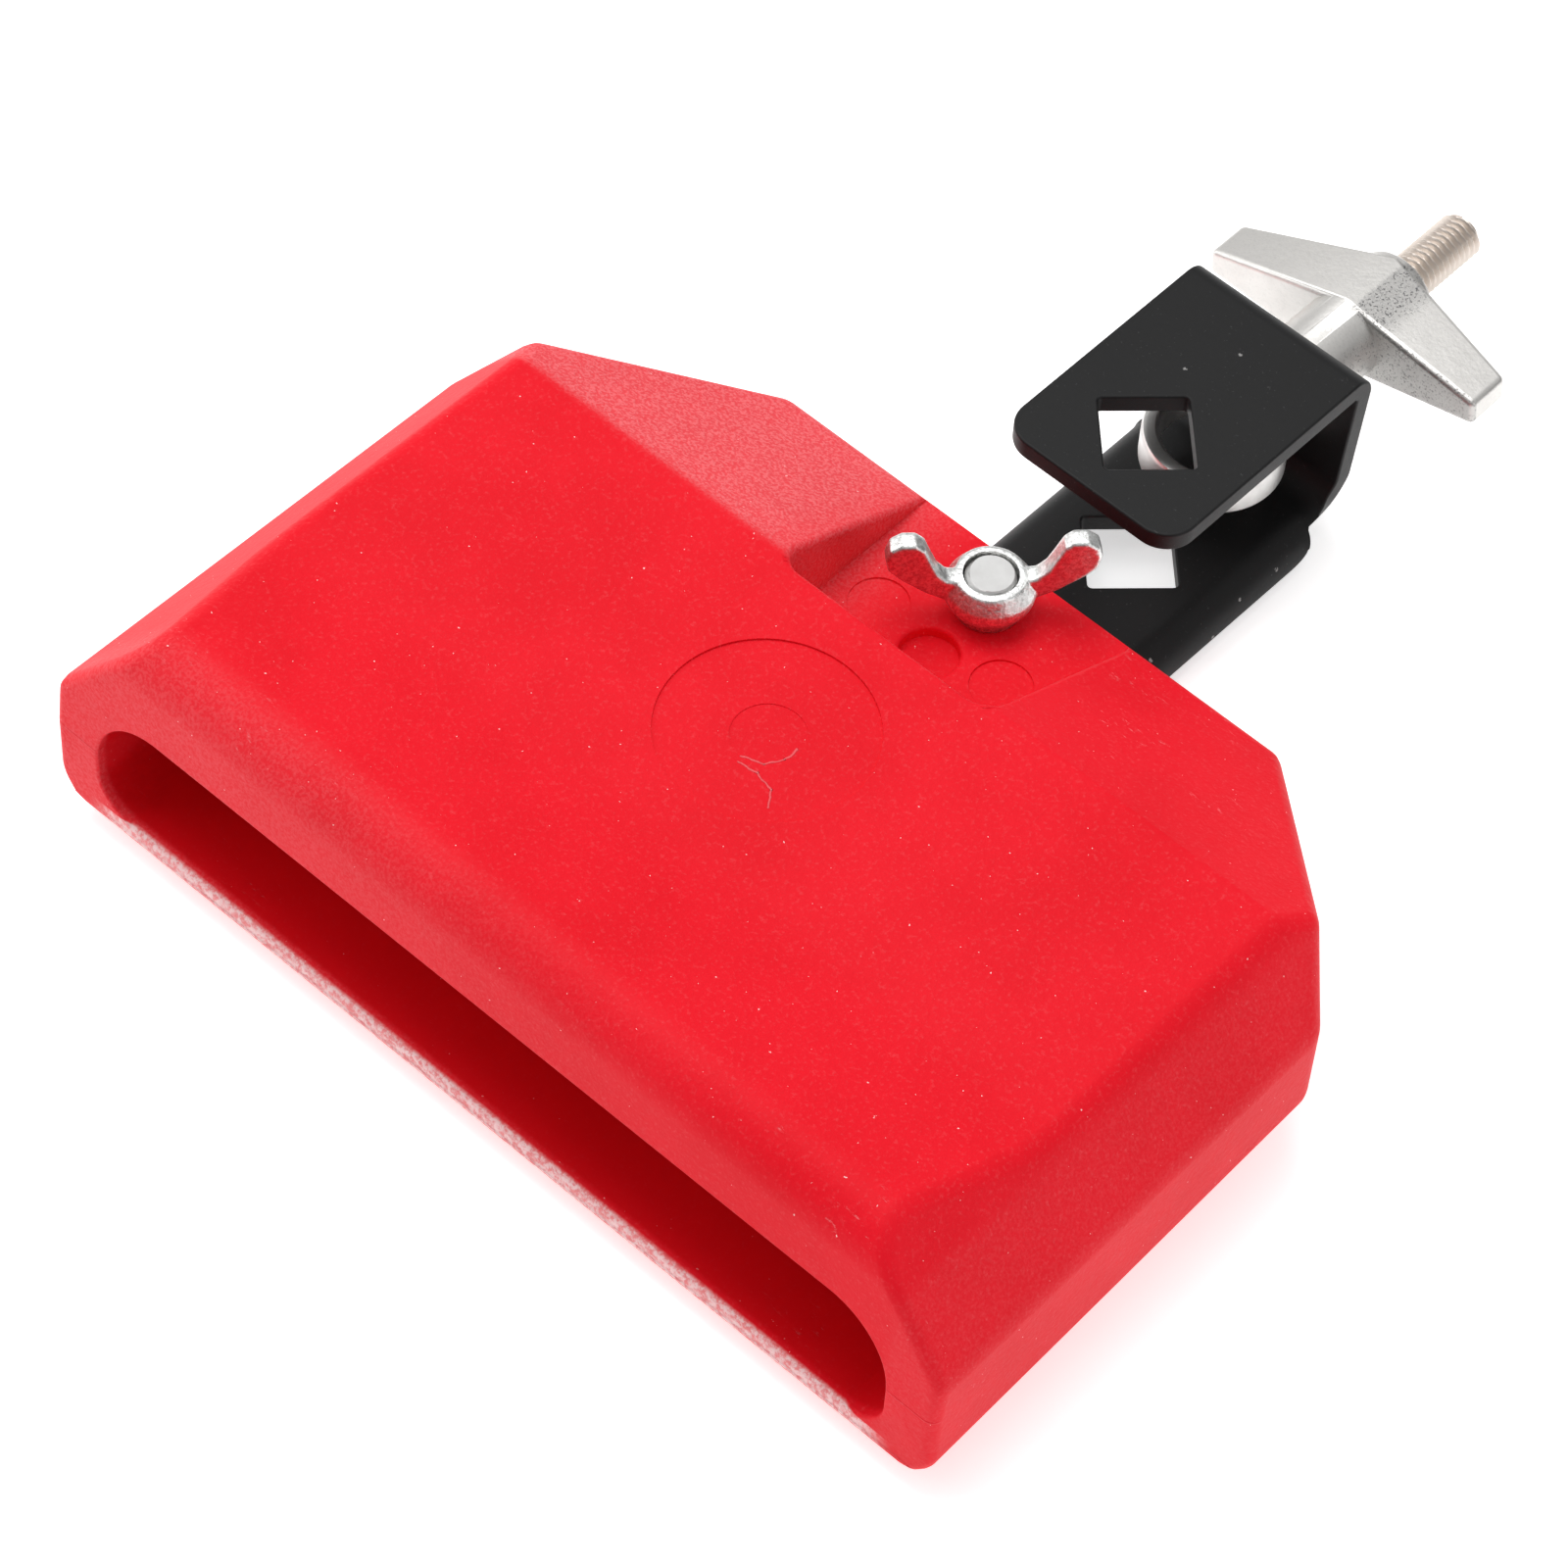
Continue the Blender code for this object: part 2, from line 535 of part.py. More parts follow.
def make_clamp_wing_nut():
    """The cast T wing nut: a round boss under two wings that thin from its crest to their tips."""
    root = STUD_DIAMETER / 2.0 + CLAMP_NUT_WALL
    bm = along_y(rod(root, TOUCH_GAP, TOUCH_GAP + CLAMP_NUT_LENGTH, WING_EDGE_FILLET))
    nut = piece("clamp_wing_nut", to_mesh("clamp_wing_nut", bm), clamp_axis, satin_plated)
    nut.rotation_euler = (0.0, math.radians(WING_TURN_DEG), 0.0)

    bm = bmesh.new()
    bmesh.ops.create_cube(bm, size=1.0)
    bmesh.ops.scale(bm, verts=bm.verts, vec=(WING_SPAN, 1.0, 1.0))
    bmesh.ops.bisect_plane(bm, geom=bm.verts[:] + bm.edges[:] + bm.faces[:],
                           plane_co=(0.0, 0.0, 0.0), plane_no=(1.0, 0.0, 0.0))
    for vert in bm.verts:
        tip = abs(vert.co.x) > root
        near, far = (WING_TIP_NEAR, WING_TIP_FAR) if tip else (WING_ROOT_NEAR, WING_ROOT_FAR)
        thickness = WING_TIP_THICKNESS if tip else 2.0 * (root + WING_ROOT_COVER)
        vert.co.y = far if vert.co.y > 0.0 else near
        vert.co.z = math.copysign(thickness / 2.0, vert.co.z)
    wings = tool("wing_pair", to_mesh("wing_pair", bm), nut)
    edge = wings.modifiers.new("edge_fillets", "BEVEL")
    edge.width = WING_EDGE_FILLET
    edge.segments = 2
    edge.limit_method = "ANGLE"
    combine(nut, wings, "UNION")
    bm = along_y(rod(STUD_DIAMETER / 2.0 + THREAD_CLEARANCE, -CUT_OVERRUN,
                     CLAMP_NUT_LENGTH + CUT_OVERRUN, 0.0))
    combine(nut, tool("clamp_nut_bore", to_mesh("clamp_nut_bore", bm), nut), "DIFFERENCE")


def make_carriage_bolt():
    """The carriage bolt: domed head under the leg, square neck in it, end flush with the nut."""
    top = NUT_BASE_Z + NUT_HUB_HEIGHT
    bm = rod(BOLT_DIAMETER / 2.0, BOLT_HEAD_TOP_Z - TOUCH_GAP, top, THREAD_END_CHAMFER)
    bolt = piece("carriage_bolt", to_mesh("carriage_bolt", bm), bolt_axis, plated_steel)

    radius = BOLT_DIAMETER / 2.0 + BOLT_HEAD_RIM
    dome = [(0.0, BOLT_HEAD_TOP_Z), (radius, BOLT_HEAD_TOP_Z)]
    for step in range(1, ARC_STEPS):
        turn = math.pi / 2.0 * step / ARC_STEPS
        dome.append((radius * math.cos(turn), BOLT_HEAD_TOP_Z - BOLT_HEAD_HEIGHT * math.sin(turn)))
    dome.append((0.0, LOWEST_Z))
    bm = turned(bmesh.new(), dome)
    combine(bolt, tool("bolt_head", to_mesh("bolt_head", bm), bolt_axis), "UNION")

    bm = bmesh.new()
    bmesh.ops.create_cube(bm, size=1.0)
    low = BOLT_HEAD_TOP_Z - TOUCH_GAP
    high = LEG_TOP_Z - TOUCH_GAP
    width = BOLT_DIAMETER + NECK_OVER_BOLT
    bmesh.ops.scale(bm, verts=bm.verts, vec=(width, width, high - low))
    bmesh.ops.translate(bm, verts=bm.verts, vec=(0.0, 0.0, (high + low) / 2.0))
    combine(bolt, tool("bolt_neck", to_mesh("bolt_neck", bm), bolt_axis), "UNION")


def make_block_wing_nut():
    """The small wing nut in the block's seat: a barrel-shaped hub with two rounded ears."""
    shank = BOLT_DIAMETER / 2.0
    bore = shank + THREAD_CLEARANCE
    foot = shank + NUT_FOOT_WALL
    belly = shank + NUT_BELLY_WALL
    crown = shank + NUT_CROWN_WALL
    profile = [(bore, NUT_HUB_HEIGHT), (crown - NUT_EDGE_ROUND, NUT_HUB_HEIGHT),
               (crown, NUT_HUB_HEIGHT - NUT_EDGE_ROUND), (belly, NUT_BELLY_HEIGHT),
               (foot, NUT_FOOT_HEIGHT), (foot, 0.0), (bore, 0.0)]
    bm = turned(bmesh.new(), profile)
    nut = piece("block_wing_nut", to_mesh("block_wing_nut", bm), bolt_axis, zinc_cast)
    nut.location = (0.0, 0.0, NUT_BASE_Z)
    nut.rotation_euler = (0.0, 0.0, math.radians(NUT_EAR_TURN_DEG))

    tip = belly + NUT_EAR_REACH
    crest = tip - NUT_EAR_CREST_LENGTH
    inner = bore + NUT_EDGE_ROUND
    bend = NUT_EAR_CORNER_RADIUS
    ear = [(inner, NUT_EAR_FOOT, 0.0), (belly, NUT_EAR_FOOT, bend / 2.0),
           (tip, NUT_EAR_KNEE, bend), (tip, NUT_EAR_HEIGHT, bend),
           (crest, NUT_EAR_HEIGHT + NUT_EAR_CREST_RISE, bend),
           (belly, NUT_HUB_HEIGHT, bend / 2.0), (inner, NUT_HUB_HEIGHT - NUT_EDGE_ROUND, 0.0)]
    for index in range(2):
        name = "nut_ear_%d" % index
        bm = slab(name, rounded(ear), -NUT_EAR_THICKNESS / 2.0, NUT_EAR_THICKNESS / 2.0)
        upright = Matrix.Rotation(math.pi * index, 4, "Z") @ Matrix.Rotation(math.pi / 2.0, 4, "X")
        bmesh.ops.transform(bm, verts=bm.verts, matrix=upright)
        lug = tool(name, to_mesh(name, bm), nut)
        edge = lug.modifiers.new("edge_fillets", "BEVEL")
        edge.width = NUT_EAR_FILLET
        edge.segments = 2
        edge.limit_method = "ANGLE"
        edge.angle_limit = math.radians(50.0)
        combine(nut, lug, "UNION")


clear_scene()
parts = collection("jam_block_on_rod_clamp")
cutters = collection("cutters")
red_plastic = material("red_plastic", (0.80, 0.010, 0.018), 0.42, 0.0)
black_steel = material("black_powder_coat", (0.010, 0.010, 0.011), 0.38, 0.0)
plated_steel = material("zinc_plated_steel", (0.72, 0.72, 0.70), 0.28, 1.0)
satin_plated = material("satin_nickel_cast", (0.70, 0.69, 0.68), 0.34, 1.0)
zinc_cast = material("zinc_plated_casting", (0.74, 0.75, 0.74), 0.30, 1.0)

datum = empty("datum", (0.0, -STUD_TIP_Y / 2.0, -LOWEST_Z), None)
bolt_axis = empty("bolt_axis", (0.0, BOLT_Y, 0.0), datum)
clamp_axis = empty("clamp_axis", (0.0, WEB_FROM_BOLT, STUD_Z), bolt_axis)

make_block_body()
make_mounting_bracket()
make_eye_bolt()
make_clamp_wing_nut()
make_carriage_bolt()
make_block_wing_nut()
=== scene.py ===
"""A red moulded jam block on its black rod clamp, finished for a close look.

The sections follow the object as it is put together: block, carriage bolt, bracket, block wing
nut, eye bolt and clamp wing nut. The studio comes last. Everything is in metres, in the frame
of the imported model: +Z up, +X along the sound slot, +Y from the slot towards the clamp.
"""
import math

import bmesh
import bpy
from mathutils import Matrix, Vector


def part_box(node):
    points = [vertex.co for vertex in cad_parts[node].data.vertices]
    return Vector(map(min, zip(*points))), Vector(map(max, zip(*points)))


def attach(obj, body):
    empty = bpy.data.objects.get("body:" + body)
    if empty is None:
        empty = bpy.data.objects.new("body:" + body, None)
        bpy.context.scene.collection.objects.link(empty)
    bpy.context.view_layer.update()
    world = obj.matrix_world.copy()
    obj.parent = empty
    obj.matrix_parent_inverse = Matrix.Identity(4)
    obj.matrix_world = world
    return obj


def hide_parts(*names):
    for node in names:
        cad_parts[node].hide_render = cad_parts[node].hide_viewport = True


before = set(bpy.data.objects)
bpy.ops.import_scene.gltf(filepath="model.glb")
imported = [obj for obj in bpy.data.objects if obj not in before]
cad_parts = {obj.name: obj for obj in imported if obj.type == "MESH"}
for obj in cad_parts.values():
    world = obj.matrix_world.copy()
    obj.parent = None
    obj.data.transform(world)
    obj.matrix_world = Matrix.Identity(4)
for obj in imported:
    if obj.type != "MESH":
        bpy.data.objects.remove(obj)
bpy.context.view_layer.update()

# ---------------------------------------------------------------------------------------------
# Block body. The real one is a hollow block of red ABS, moulded in two halves that part at
# mid-height of the slot. Its face has a fine spark-eroded grain, and its mould left soft
# edges, a round gate mark on the top and three ejector marks in the wing nut's seat.
block_low, block_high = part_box("block_body")
front_y = block_low.y
tail_y = block_high.y
PARTING_BELOW_TOP = 0.02695
parting_z = block_high.z - PARTING_BELOW_TOP
HALF_WIDTH = 0.0875
BLOCK_LENGTH = tail_y - front_y
TOP_Z = 0.0216
RIDGE_Z = 0.0289
RIDGE_SETBACK = 0.0028
CREASE = 0.033
BEVEL_START = BLOCK_LENGTH - 0.0339
TAIL_EDGE_Z = 0.0055
BOTTOM_Z = -0.0123
LIP_Z = -0.0176
LIP_SETBACK = 0.0011
CHIN_Z = -0.0150
CREASE_RADIUS = 0.040
RIDGE_RADIUS = 0.008
FILLET = 0.0020
FLAT_UNDERSIDE = BLOCK_LENGTH - 0.0378


def only(piece):
    """Make a piece the one selected and active object."""
    bpy.ops.object.select_all(action="DESELECT")
    piece.select_set(True)
    bpy.context.view_layer.objects.active = piece


def added(name):
    """Name the primitive just added, and bake its place and size into its mesh."""
    piece = bpy.context.object
    piece.name = name
    piece.data.name = name
    bpy.ops.object.transform_apply(location=True, rotation=True, scale=True)
    return piece


def crate(name, low, high):
    """A cube primitive that fills the space between two corners."""
    bpy.ops.object.select_all(action="DESELECT")
    middle = (Vector(low) + Vector(high)) / 2.0
    bpy.ops.mesh.primitive_cube_add(size=1.0, location=middle, scale=Vector(high) - Vector(low))
    return added(name)


def pin(name, radius, low, high, x=0.0, y=0.0, sides=96):
    """An upright cylinder primitive from z = low to z = high."""
    bpy.ops.object.select_all(action="DESELECT")
    bpy.ops.mesh.primitive_cylinder_add(vertices=sides, radius=radius, depth=high - low,
                                        location=(x, y, (low + high) / 2.0))
    return added(name)


def extruded(name, corners, step):
    """A flat outline of 3-D corners, filled and extruded by one step."""
    bpy.ops.object.select_all(action="DESELECT")
    bpy.ops.mesh.primitive_circle_add(vertices=len(corners), radius=1.0, fill_type="NGON")
    piece = added(name)
    for vertex, corner in zip(piece.data.vertices, corners):
        vertex.co = corner
    bpy.ops.object.mode_set(mode="EDIT")
    bpy.ops.mesh.select_all(action="SELECT")
    bpy.ops.mesh.extrude_region_move(TRANSFORM_OT_translate={"value": step})
    bpy.ops.mesh.select_all(action="SELECT")
    bpy.ops.mesh.normals_make_consistent(inside=False)
    bpy.ops.object.mode_set(mode="OBJECT")
    return piece


def applied(piece, kind, **settings):
    """Add a modifier to a piece and apply it."""
    step = piece.modifiers.new(kind.lower(), kind)
    for key, value in settings.items():
        setattr(step, key, value)
    only(piece)
    bpy.ops.object.modifier_apply(modifier=step.name)
    return piece


def carve(piece, cutter, operation="DIFFERENCE"):
    """Cut a piece with another body, or weld the body to it, and remove the body."""
    applied(piece, "BOOLEAN", operation=operation, solver="EXACT", object=cutter)
    bpy.data.objects.remove(cutter)
    return piece


def soften(piece, width, segments, place, sharpness=26.0):
    """Round the sharp edges: place(middle, run) gives each one's share of the width."""
    bm = bmesh.new()
    bm.from_mesh(piece.data)
    weight = bm.edges.layers.float.get("bevel_weight_edge")
    if weight is None:
        weight = bm.edges.layers.float.new("bevel_weight_edge")
    for edge in bm.edges:
        middle = (edge.verts[0].co + edge.verts[1].co) / 2.0
        run = (edge.verts[1].co - edge.verts[0].co).normalized()
        sharp = edge.calc_face_angle(0.0) > math.radians(sharpness)
        edge[weight] = float(place(middle, run)) if sharp else 0.0
    bm.to_mesh(piece.data)
    bm.free()
    applied(piece, "BEVEL", limit_method="WEIGHT", width=width, segments=segments,
            use_clamp_overlap=False)
    piece.data.attributes.remove(piece.data.attributes["bevel_weight_edge"])
    return piece


def settle(piece, angle=32.0):
    """Merge doubles, face the mesh outwards and shade it smooth between its sharp edges."""
    only(piece)
    bpy.ops.object.mode_set(mode="EDIT")
    bpy.ops.mesh.select_all(action="SELECT")
    bpy.ops.mesh.remove_doubles(threshold=0.000004)
    bpy.ops.mesh.normals_make_consistent(inside=False)
    bpy.ops.object.mode_set(mode="OBJECT")
    bpy.ops.object.shade_smooth_by_angle(angle=math.radians(angle))
    applied(piece, "WEIGHTED_NORMAL", keep_sharp=True, weight=60)
    return piece


def arc_reach(radius, before, corner, after):
    """How far from a corner an arc of this radius meets its two sides."""
    inside = (Vector(before) - Vector(corner)).angle(Vector(after) - Vector(corner))
    return radius / math.tan(inside / 2.0)


def sliced(piece, point, normal):
    """Saw a piece off along a plane and close the cut."""
    only(piece)
    bpy.ops.object.mode_set(mode="EDIT")
    bpy.ops.mesh.select_all(action="SELECT")
    bpy.ops.mesh.bisect(plane_co=point, plane_no=normal, use_fill=True, clear_outer=True)
    bpy.ops.object.mode_set(mode="OBJECT")


def on_block(x, y, z):
    """A place given from the front face, the middle and the parting plane."""
    return Vector((x, front_y + y, parting_z + z))


side_profile = [
    (0.0, CHIN_Z), (LIP_SETBACK, LIP_Z), (FLAT_UNDERSIDE, BOTTOM_Z), (BLOCK_LENGTH, BOTTOM_Z),
    (BLOCK_LENGTH, TAIL_EDGE_Z), (BEVEL_START, TOP_Z), (CREASE, TOP_Z),
    (RIDGE_SETBACK, RIDGE_Z), (0.0, 0.0),
]
block = extruded("block", [on_block(-0.1, y, z) for y, z in side_profile], (0.2, 0.0, 0.0))
for spot, radius, segments in ((6, CREASE_RADIUS, 10), (7, RIDGE_RADIUS, 18)):
    reach = arc_reach(radius, side_profile[spot - 1], side_profile[spot], side_profile[spot + 1])
    where = on_block(0.0, *side_profile[spot])
    soften(block, reach, segments, lambda middle, run: (middle - where).length < 0.0001, 5.0)

# The side faces lean in towards the top, and two wide facets cut the rear corners.
BAND_TOP = 0.008
CORNER_CUT = BLOCK_LENGTH - 0.0363
REAR_HALF = HALF_WIDTH - 0.0007
TOP_INSET = 0.0119
TAIL_INSET = 0.038
LOWER_RADIUS = 0.008
LOWER_FACETS = 9
slope = (BOTTOM_Z - LIP_Z) / FLAT_UNDERSIDE
for side in (-1.0, 1.0):
    band_front = on_block(side * HALF_WIDTH, 0.0, BAND_TOP)
    band_rear = on_block(side * REAR_HALF, CORNER_CUT, BAND_TOP)
    band_rear_low = on_block(side * REAR_HALF, CORNER_CUT, -BAND_TOP)
    top_edge = on_block(side * (HALF_WIDTH - TOP_INSET), CREASE, TOP_Z)
    tail_corner = on_block(side * (HALF_WIDTH - TAIL_INSET), BLOCK_LENGTH, BAND_TOP)
    for first, second, third in ((band_front, band_rear, top_edge),
                                 (band_front, band_rear_low, band_rear),
                                 (band_rear, band_rear_low, tail_corner)):
        normal = (second - first).cross(third - first).normalized()
        sliced(block, first, normal if normal.x * side > 0.0 else -normal)
    for step in range(1, LOWER_FACETS + 1):
        turn = math.pi / 2.0 * step / (LOWER_FACETS + 1)
        out = Vector((side * math.cos(turn), 0.0, -math.sin(turn)))
        middle = on_block(side * (HALF_WIDTH - LOWER_RADIUS), 0.0, LIP_Z + LOWER_RADIUS)
        tilt = Vector((0.0, slope * math.sin(turn), 0.0))
        sliced(block, middle + out * LOWER_RADIUS, (out + tilt).normalized())


def fillet_share(middle, run):
    """A full fillet on every outer edge, but slight ones at the rear slope and on the chin."""
    if abs(run.x) > 0.9 and abs(middle.y - front_y - BEVEL_START) < 0.0001:
        return 0.25
    if abs(run.x) > 0.9 and (middle - on_block(middle.x, 0.0, CHIN_Z)).length < 0.0001:
        return 0.35
    return 1.0


soften(block, FILLET, 6, fillet_share, 22.0)

# The sound slot narrows towards the back wall of the cavity.
SLOT_HALF = HALF_WIDTH - 0.00915
SLOT_TOP = 0.0110
SLOT_BOTTOM = -0.0123
SLOT_DEPTH = BEVEL_START - 0.0082
BACK_SHARE = 0.72
UPPER_RADIUS = 0.012
FLOOR_RADIUS = 0.007
BACK_RADIUS = 0.003
core = crate("slot_core", on_block(-SLOT_HALF, -0.004, SLOT_BOTTOM),
             on_block(SLOT_HALF, SLOT_DEPTH, SLOT_TOP))
soften(core, UPPER_RADIUS, 16, lambda middle, run: abs(run.y) > 0.9 and middle.z > parting_z)
soften(core, FLOOR_RADIUS, 12, lambda middle, run: abs(run.y) > 0.9
       and middle.z < parting_z - 0.012)
for vertex in core.data.vertices:
    if vertex.co.y > front_y:
        vertex.co.z = parting_z + (vertex.co.z - parting_z) * BACK_SHARE
soften(core, BACK_RADIUS, 4, lambda middle, run: middle.y > front_y + SLOT_DEPTH - 0.0001)
carve(block, core)


RIM = 0.0005
TRIM = 0.0015
TRIM_TAPER = 0.010


def at_mouth(middle, run):
    """The slot's rim is barely broken above, and trimmed back along its lower edge."""
    inside = abs(middle.x) < SLOT_HALF + 0.0002 and abs(middle.z - parting_z) < 0.0125
    if not inside or middle.y > front_y + 0.0012:
        return 0.0
    if middle.z > parting_z - 0.008:
        return RIM / TRIM
    return min(max((SLOT_HALF - abs(middle.x)) / TRIM_TAPER, RIM / TRIM), 1.0)


soften(block, TRIM, 3, at_mouth, 40.0)

# The wing nut's seat is open at the tail, with soft rims and three round marks in its floor.
SEAT_HALF = 0.0205
SEAT_FRONT = BLOCK_LENGTH - 0.0349
SEAT_FLOOR = TAIL_EDGE_Z - 0.0003
SEAT_RADIUS = 0.004
SEAT_RIM = 0.0011
BOLT_HOLE = 0.0046
# Each mark's place from the middle and the front face, its radius, depth and edge.
EJECTOR_MARKS = ((-0.0006, 0.0975, 0.0047, 0.0021, 0.0007),
                 (-0.0124, 0.0993, 0.0048, 0.00035, 0.00006),
                 (0.0113, 0.1003, 0.0049, 0.00035, 0.00006))
seat = crate("seat_cutter", on_block(-SEAT_HALF, SEAT_FRONT, SEAT_FLOOR),
             on_block(SEAT_HALF, BLOCK_LENGTH + 0.004, TOP_Z + 0.004))
soften(seat, SEAT_RADIUS, 10, lambda middle, run: abs(run.z) > 0.9 and middle.y < tail_y)
carve(block, seat)
soften(block, SEAT_RIM, 5, lambda middle, run: abs(middle.x) < SEAT_HALF + 0.0003
       and middle.y > front_y + SEAT_FRONT - 0.0003 and middle.z > parting_z + SEAT_FLOOR + 0.001,
       22.0)
bolt_low, bolt_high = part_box("carriage_bolt")
bolt_y = (bolt_low.y + bolt_high.y) / 2.0
floor_z = parting_z + SEAT_FLOOR
carve(block, pin("bolt_hole", BOLT_HOLE, parting_z + BOTTOM_Z - 0.002, floor_z + 0.004, 0.0, bolt_y))
for x, y, radius, depth, edge in EJECTOR_MARKS:
    carve(block, pin("floor_mark", radius, floor_z - depth, floor_z + 0.003, x, front_y + y))
    soften(block, edge, 4,
           lambda middle, run: abs(math.hypot(middle.x - x, middle.y - front_y - y) - radius)
           < 0.0001 and middle.z > floor_z - 0.0001)

# The gate mark on the top is a shallow round panel with a smaller ring in it.
top_z = parting_z + TOP_Z
GATE_RINGS = ((0.0, 0.0599, 0.0168, 0.00034), (0.0007, 0.0595, 0.0058, 0.00046))
for x, y, radius, depth in GATE_RINGS:
    carve(block, pin("gate_mark", radius, top_z - depth, top_z + 0.002, x, front_y + y, 160))

# The tight corners of the fillets stay inside the moulding's own box.
for vertex in block.data.vertices:
    vertex.co.y = max(vertex.co.y, front_y)
    vertex.co.z = min(vertex.co.z, block_high.z)
settle(block)


class Signal:
    """A shader socket that sums can be written on, with one method for any other node."""

    def __init__(self, tree, socket=None):
        self.tree = tree
        self.socket = socket

    def node(self, kind, settings, inputs, output=0):
        """Add a node: its settings first, then the values or links of its sockets."""
        made = self.tree.nodes.new("ShaderNode" + kind)
        for key, value in settings.items():
            if key == "stops":
                while len(made.color_ramp.elements) < len(value):
                    made.color_ramp.elements.new(0.5)
                for element, (place, tone) in zip(made.color_ramp.elements, value):
                    element.position = place
                    element.color = (tone, tone, tone, 1.0)
            else:
                setattr(made, key, value)
        for key, value in inputs.items():
            if isinstance(value, Signal):
                self.tree.links.new(value.socket, made.inputs[key])
            else:
                made.inputs[key].default_value = value
        return Signal(self.tree, made.outputs[output])

    def math(self, operation, *values):
        return self.node("Math", {"operation": operation}, dict(enumerate(values)))

    def __add__(self, other):
        return self.math("ADD", self, other)

    def __sub__(self, other):
        return self.math("SUBTRACT", self, other)

    def __rsub__(self, other):
        return self.math("SUBTRACT", other, self)

    def __mul__(self, other):
        return self.math("MULTIPLY", self, other)

    def __pow__(self, other):
        return self.math("POWER", self, other)

    def __abs__(self):
        return self.math("ABSOLUTE", self)

    __radd__ = __add__
    __rmul__ = __mul__

    def ramp(self, low, high):
        """0 below low, 1 above high and smooth between, or falling where high is the lower."""
        return self.node("MapRange", {"interpolation_type": "SMOOTHSTEP"},
                         {"Value": self, "From Min": low, "From Max": high})

    def noise(self, scale, detail=3.0, roughness=0.5):
        """Cloudy noise on this signal as a place, with scale in cells per metre."""
        return self.node("TexNoise", {}, {"Vector": self, "Scale": scale, "Detail": detail,
                                          "Roughness": roughness})

    def cells(self, scale):
        """Distance from scattered points."""
        return self.node("TexVoronoi", {}, {"Vector": self, "Scale": scale})

    def stretched(self, turn, scale):
        """This place turned and scaled, for marks that run one way."""
        return self.node("Mapping", {}, {"Vector": self, "Rotation": turn, "Scale": scale})

    def over(self, below, above):
        """Two colours mixed by this signal."""
        return self.node("Mix", {"data_type": "RGBA"}, {0: self, 6: below, 7: above}, 2)

    def parts(self):
        """The three numbers of a place."""
        return [self.node("SeparateXYZ", {}, {0: self}, axis) for axis in range(3)]

    def strand(self, first, last):
        """Distance of this place from a straight line between two points, seen from above."""
        x, y = self.parts()[:2]
        run = (last[0] - first[0], last[1] - first[1])
        inverse = 1.0 / (run[0] ** 2 + run[1] ** 2)
        share = ((x - first[0]) * run[0] + (y - first[1]) * run[1]) * inverse
        share = self.math("MINIMUM", self.math("MAXIMUM", share, 0.0), 1.0)
        off_x = x - first[0] - share * run[0]
        off_y = y - first[1] - share * run[1]
        return (off_x ** 2.0 + off_y ** 2.0) ** 0.5

    def bump(self, height, below=None):
        """Relief of this height in metres, on top of relief that is already there."""
        inputs = {"Height": self, "Distance": height, "Strength": 1.0}
        if below is not None:
            inputs["Normal"] = below
        return self.node("Bump", {}, inputs)


def finish(name, **constants):
    """A new material, with its place signal and its shader."""
    made = bpy.data.materials.new(name)
    made.use_nodes = True
    shader = made.node_tree.nodes["Principled BSDF"]
    for key, value in constants.items():
        shader.inputs[key.replace("_", " ")].default_value = value
    start = Signal(made.node_tree)
    place = start.node("TexCoord", {}, {}, "Object")
    return made, place, shader


def connect(shader, **signals):
    """Feed signals to the shader's sockets."""
    for key, signal in signals.items():
        target = shader.inputs[key.replace("_", " ")]
        signal.tree.links.new(signal.socket, target)


RED_FACE = (0.80, 0.0085, 0.020, 1.0)
RED_DEEP = (0.74, 0.0065, 0.016, 1.0)
RED_WEAR_AND_SHEEN = (0.93, 0.30, 0.32, 1.0)
RED_CAVITY_SHADE = (0.60, 0.0025, 0.006, 1.0)
DUST_AND_LIP_SHEEN = (0.95, 0.72, 0.72, 1.0)
red_plastic, place, shader = finish("red_moulded_plastic", Specular_IOR_Level=0.08)
x, y, z = place.parts()
height = z - parting_z
behind = y - front_y
patches = place.noise(34.0, 4.0, 0.6)
grain = place.noise(1500.0, 3.0, 0.62)
coarse = place.noise(820.0, 2.0, 0.55)
colour = patches.ramp(0.35, 0.70).over(RED_FACE, RED_DEEP)
colour = (grain.ramp(0.50, 0.80) * 0.10).over(colour, RED_WEAR_AND_SHEEN)
across = abs(x)
in_cavity = behind.ramp(0.0012, 0.0024) * height.ramp(0.0113, 0.0108) * height.ramp(-0.0128, -0.0122)
in_cavity = in_cavity * behind.ramp(SLOT_DEPTH + 0.001, SLOT_DEPTH) * across.ramp(0.0790, 0.0780)
# Where the mould was etched coarser, the grain is rougher, and its specks are painted pale there as
# a painted highlight:
# the left of the ridge and of the front face, the left of the rear slope and, faintly, the right
# side.
stipple = place.noise(1900.0, 2.0, 0.6).ramp(0.40, 0.64)
rear_slope = behind.ramp(BEVEL_START - 0.001, BEVEL_START + 0.002) * x.ramp(-0.008, -0.030)
nose = behind.ramp(0.0130, 0.0050) * x.ramp(0.060, -0.075)
right_side = across.ramp(0.0765, 0.0790) * x.ramp(-0.01, 0.01)
coarse_grain_and_sheen = rear_slope.math("MAXIMUM", rear_slope, nose * (1.0 - in_cavity) * 0.34)
coarse_grain_and_sheen = coarse_grain_and_sheen.math("MAXIMUM", coarse_grain_and_sheen, right_side * 0.12)
# Painted highlight: the coarse grain's specks in these places are painted pale pink.
colour = (coarse_grain_and_sheen * (0.15 + stipple * 0.30)).over(colour, RED_WEAR_AND_SHEEN)
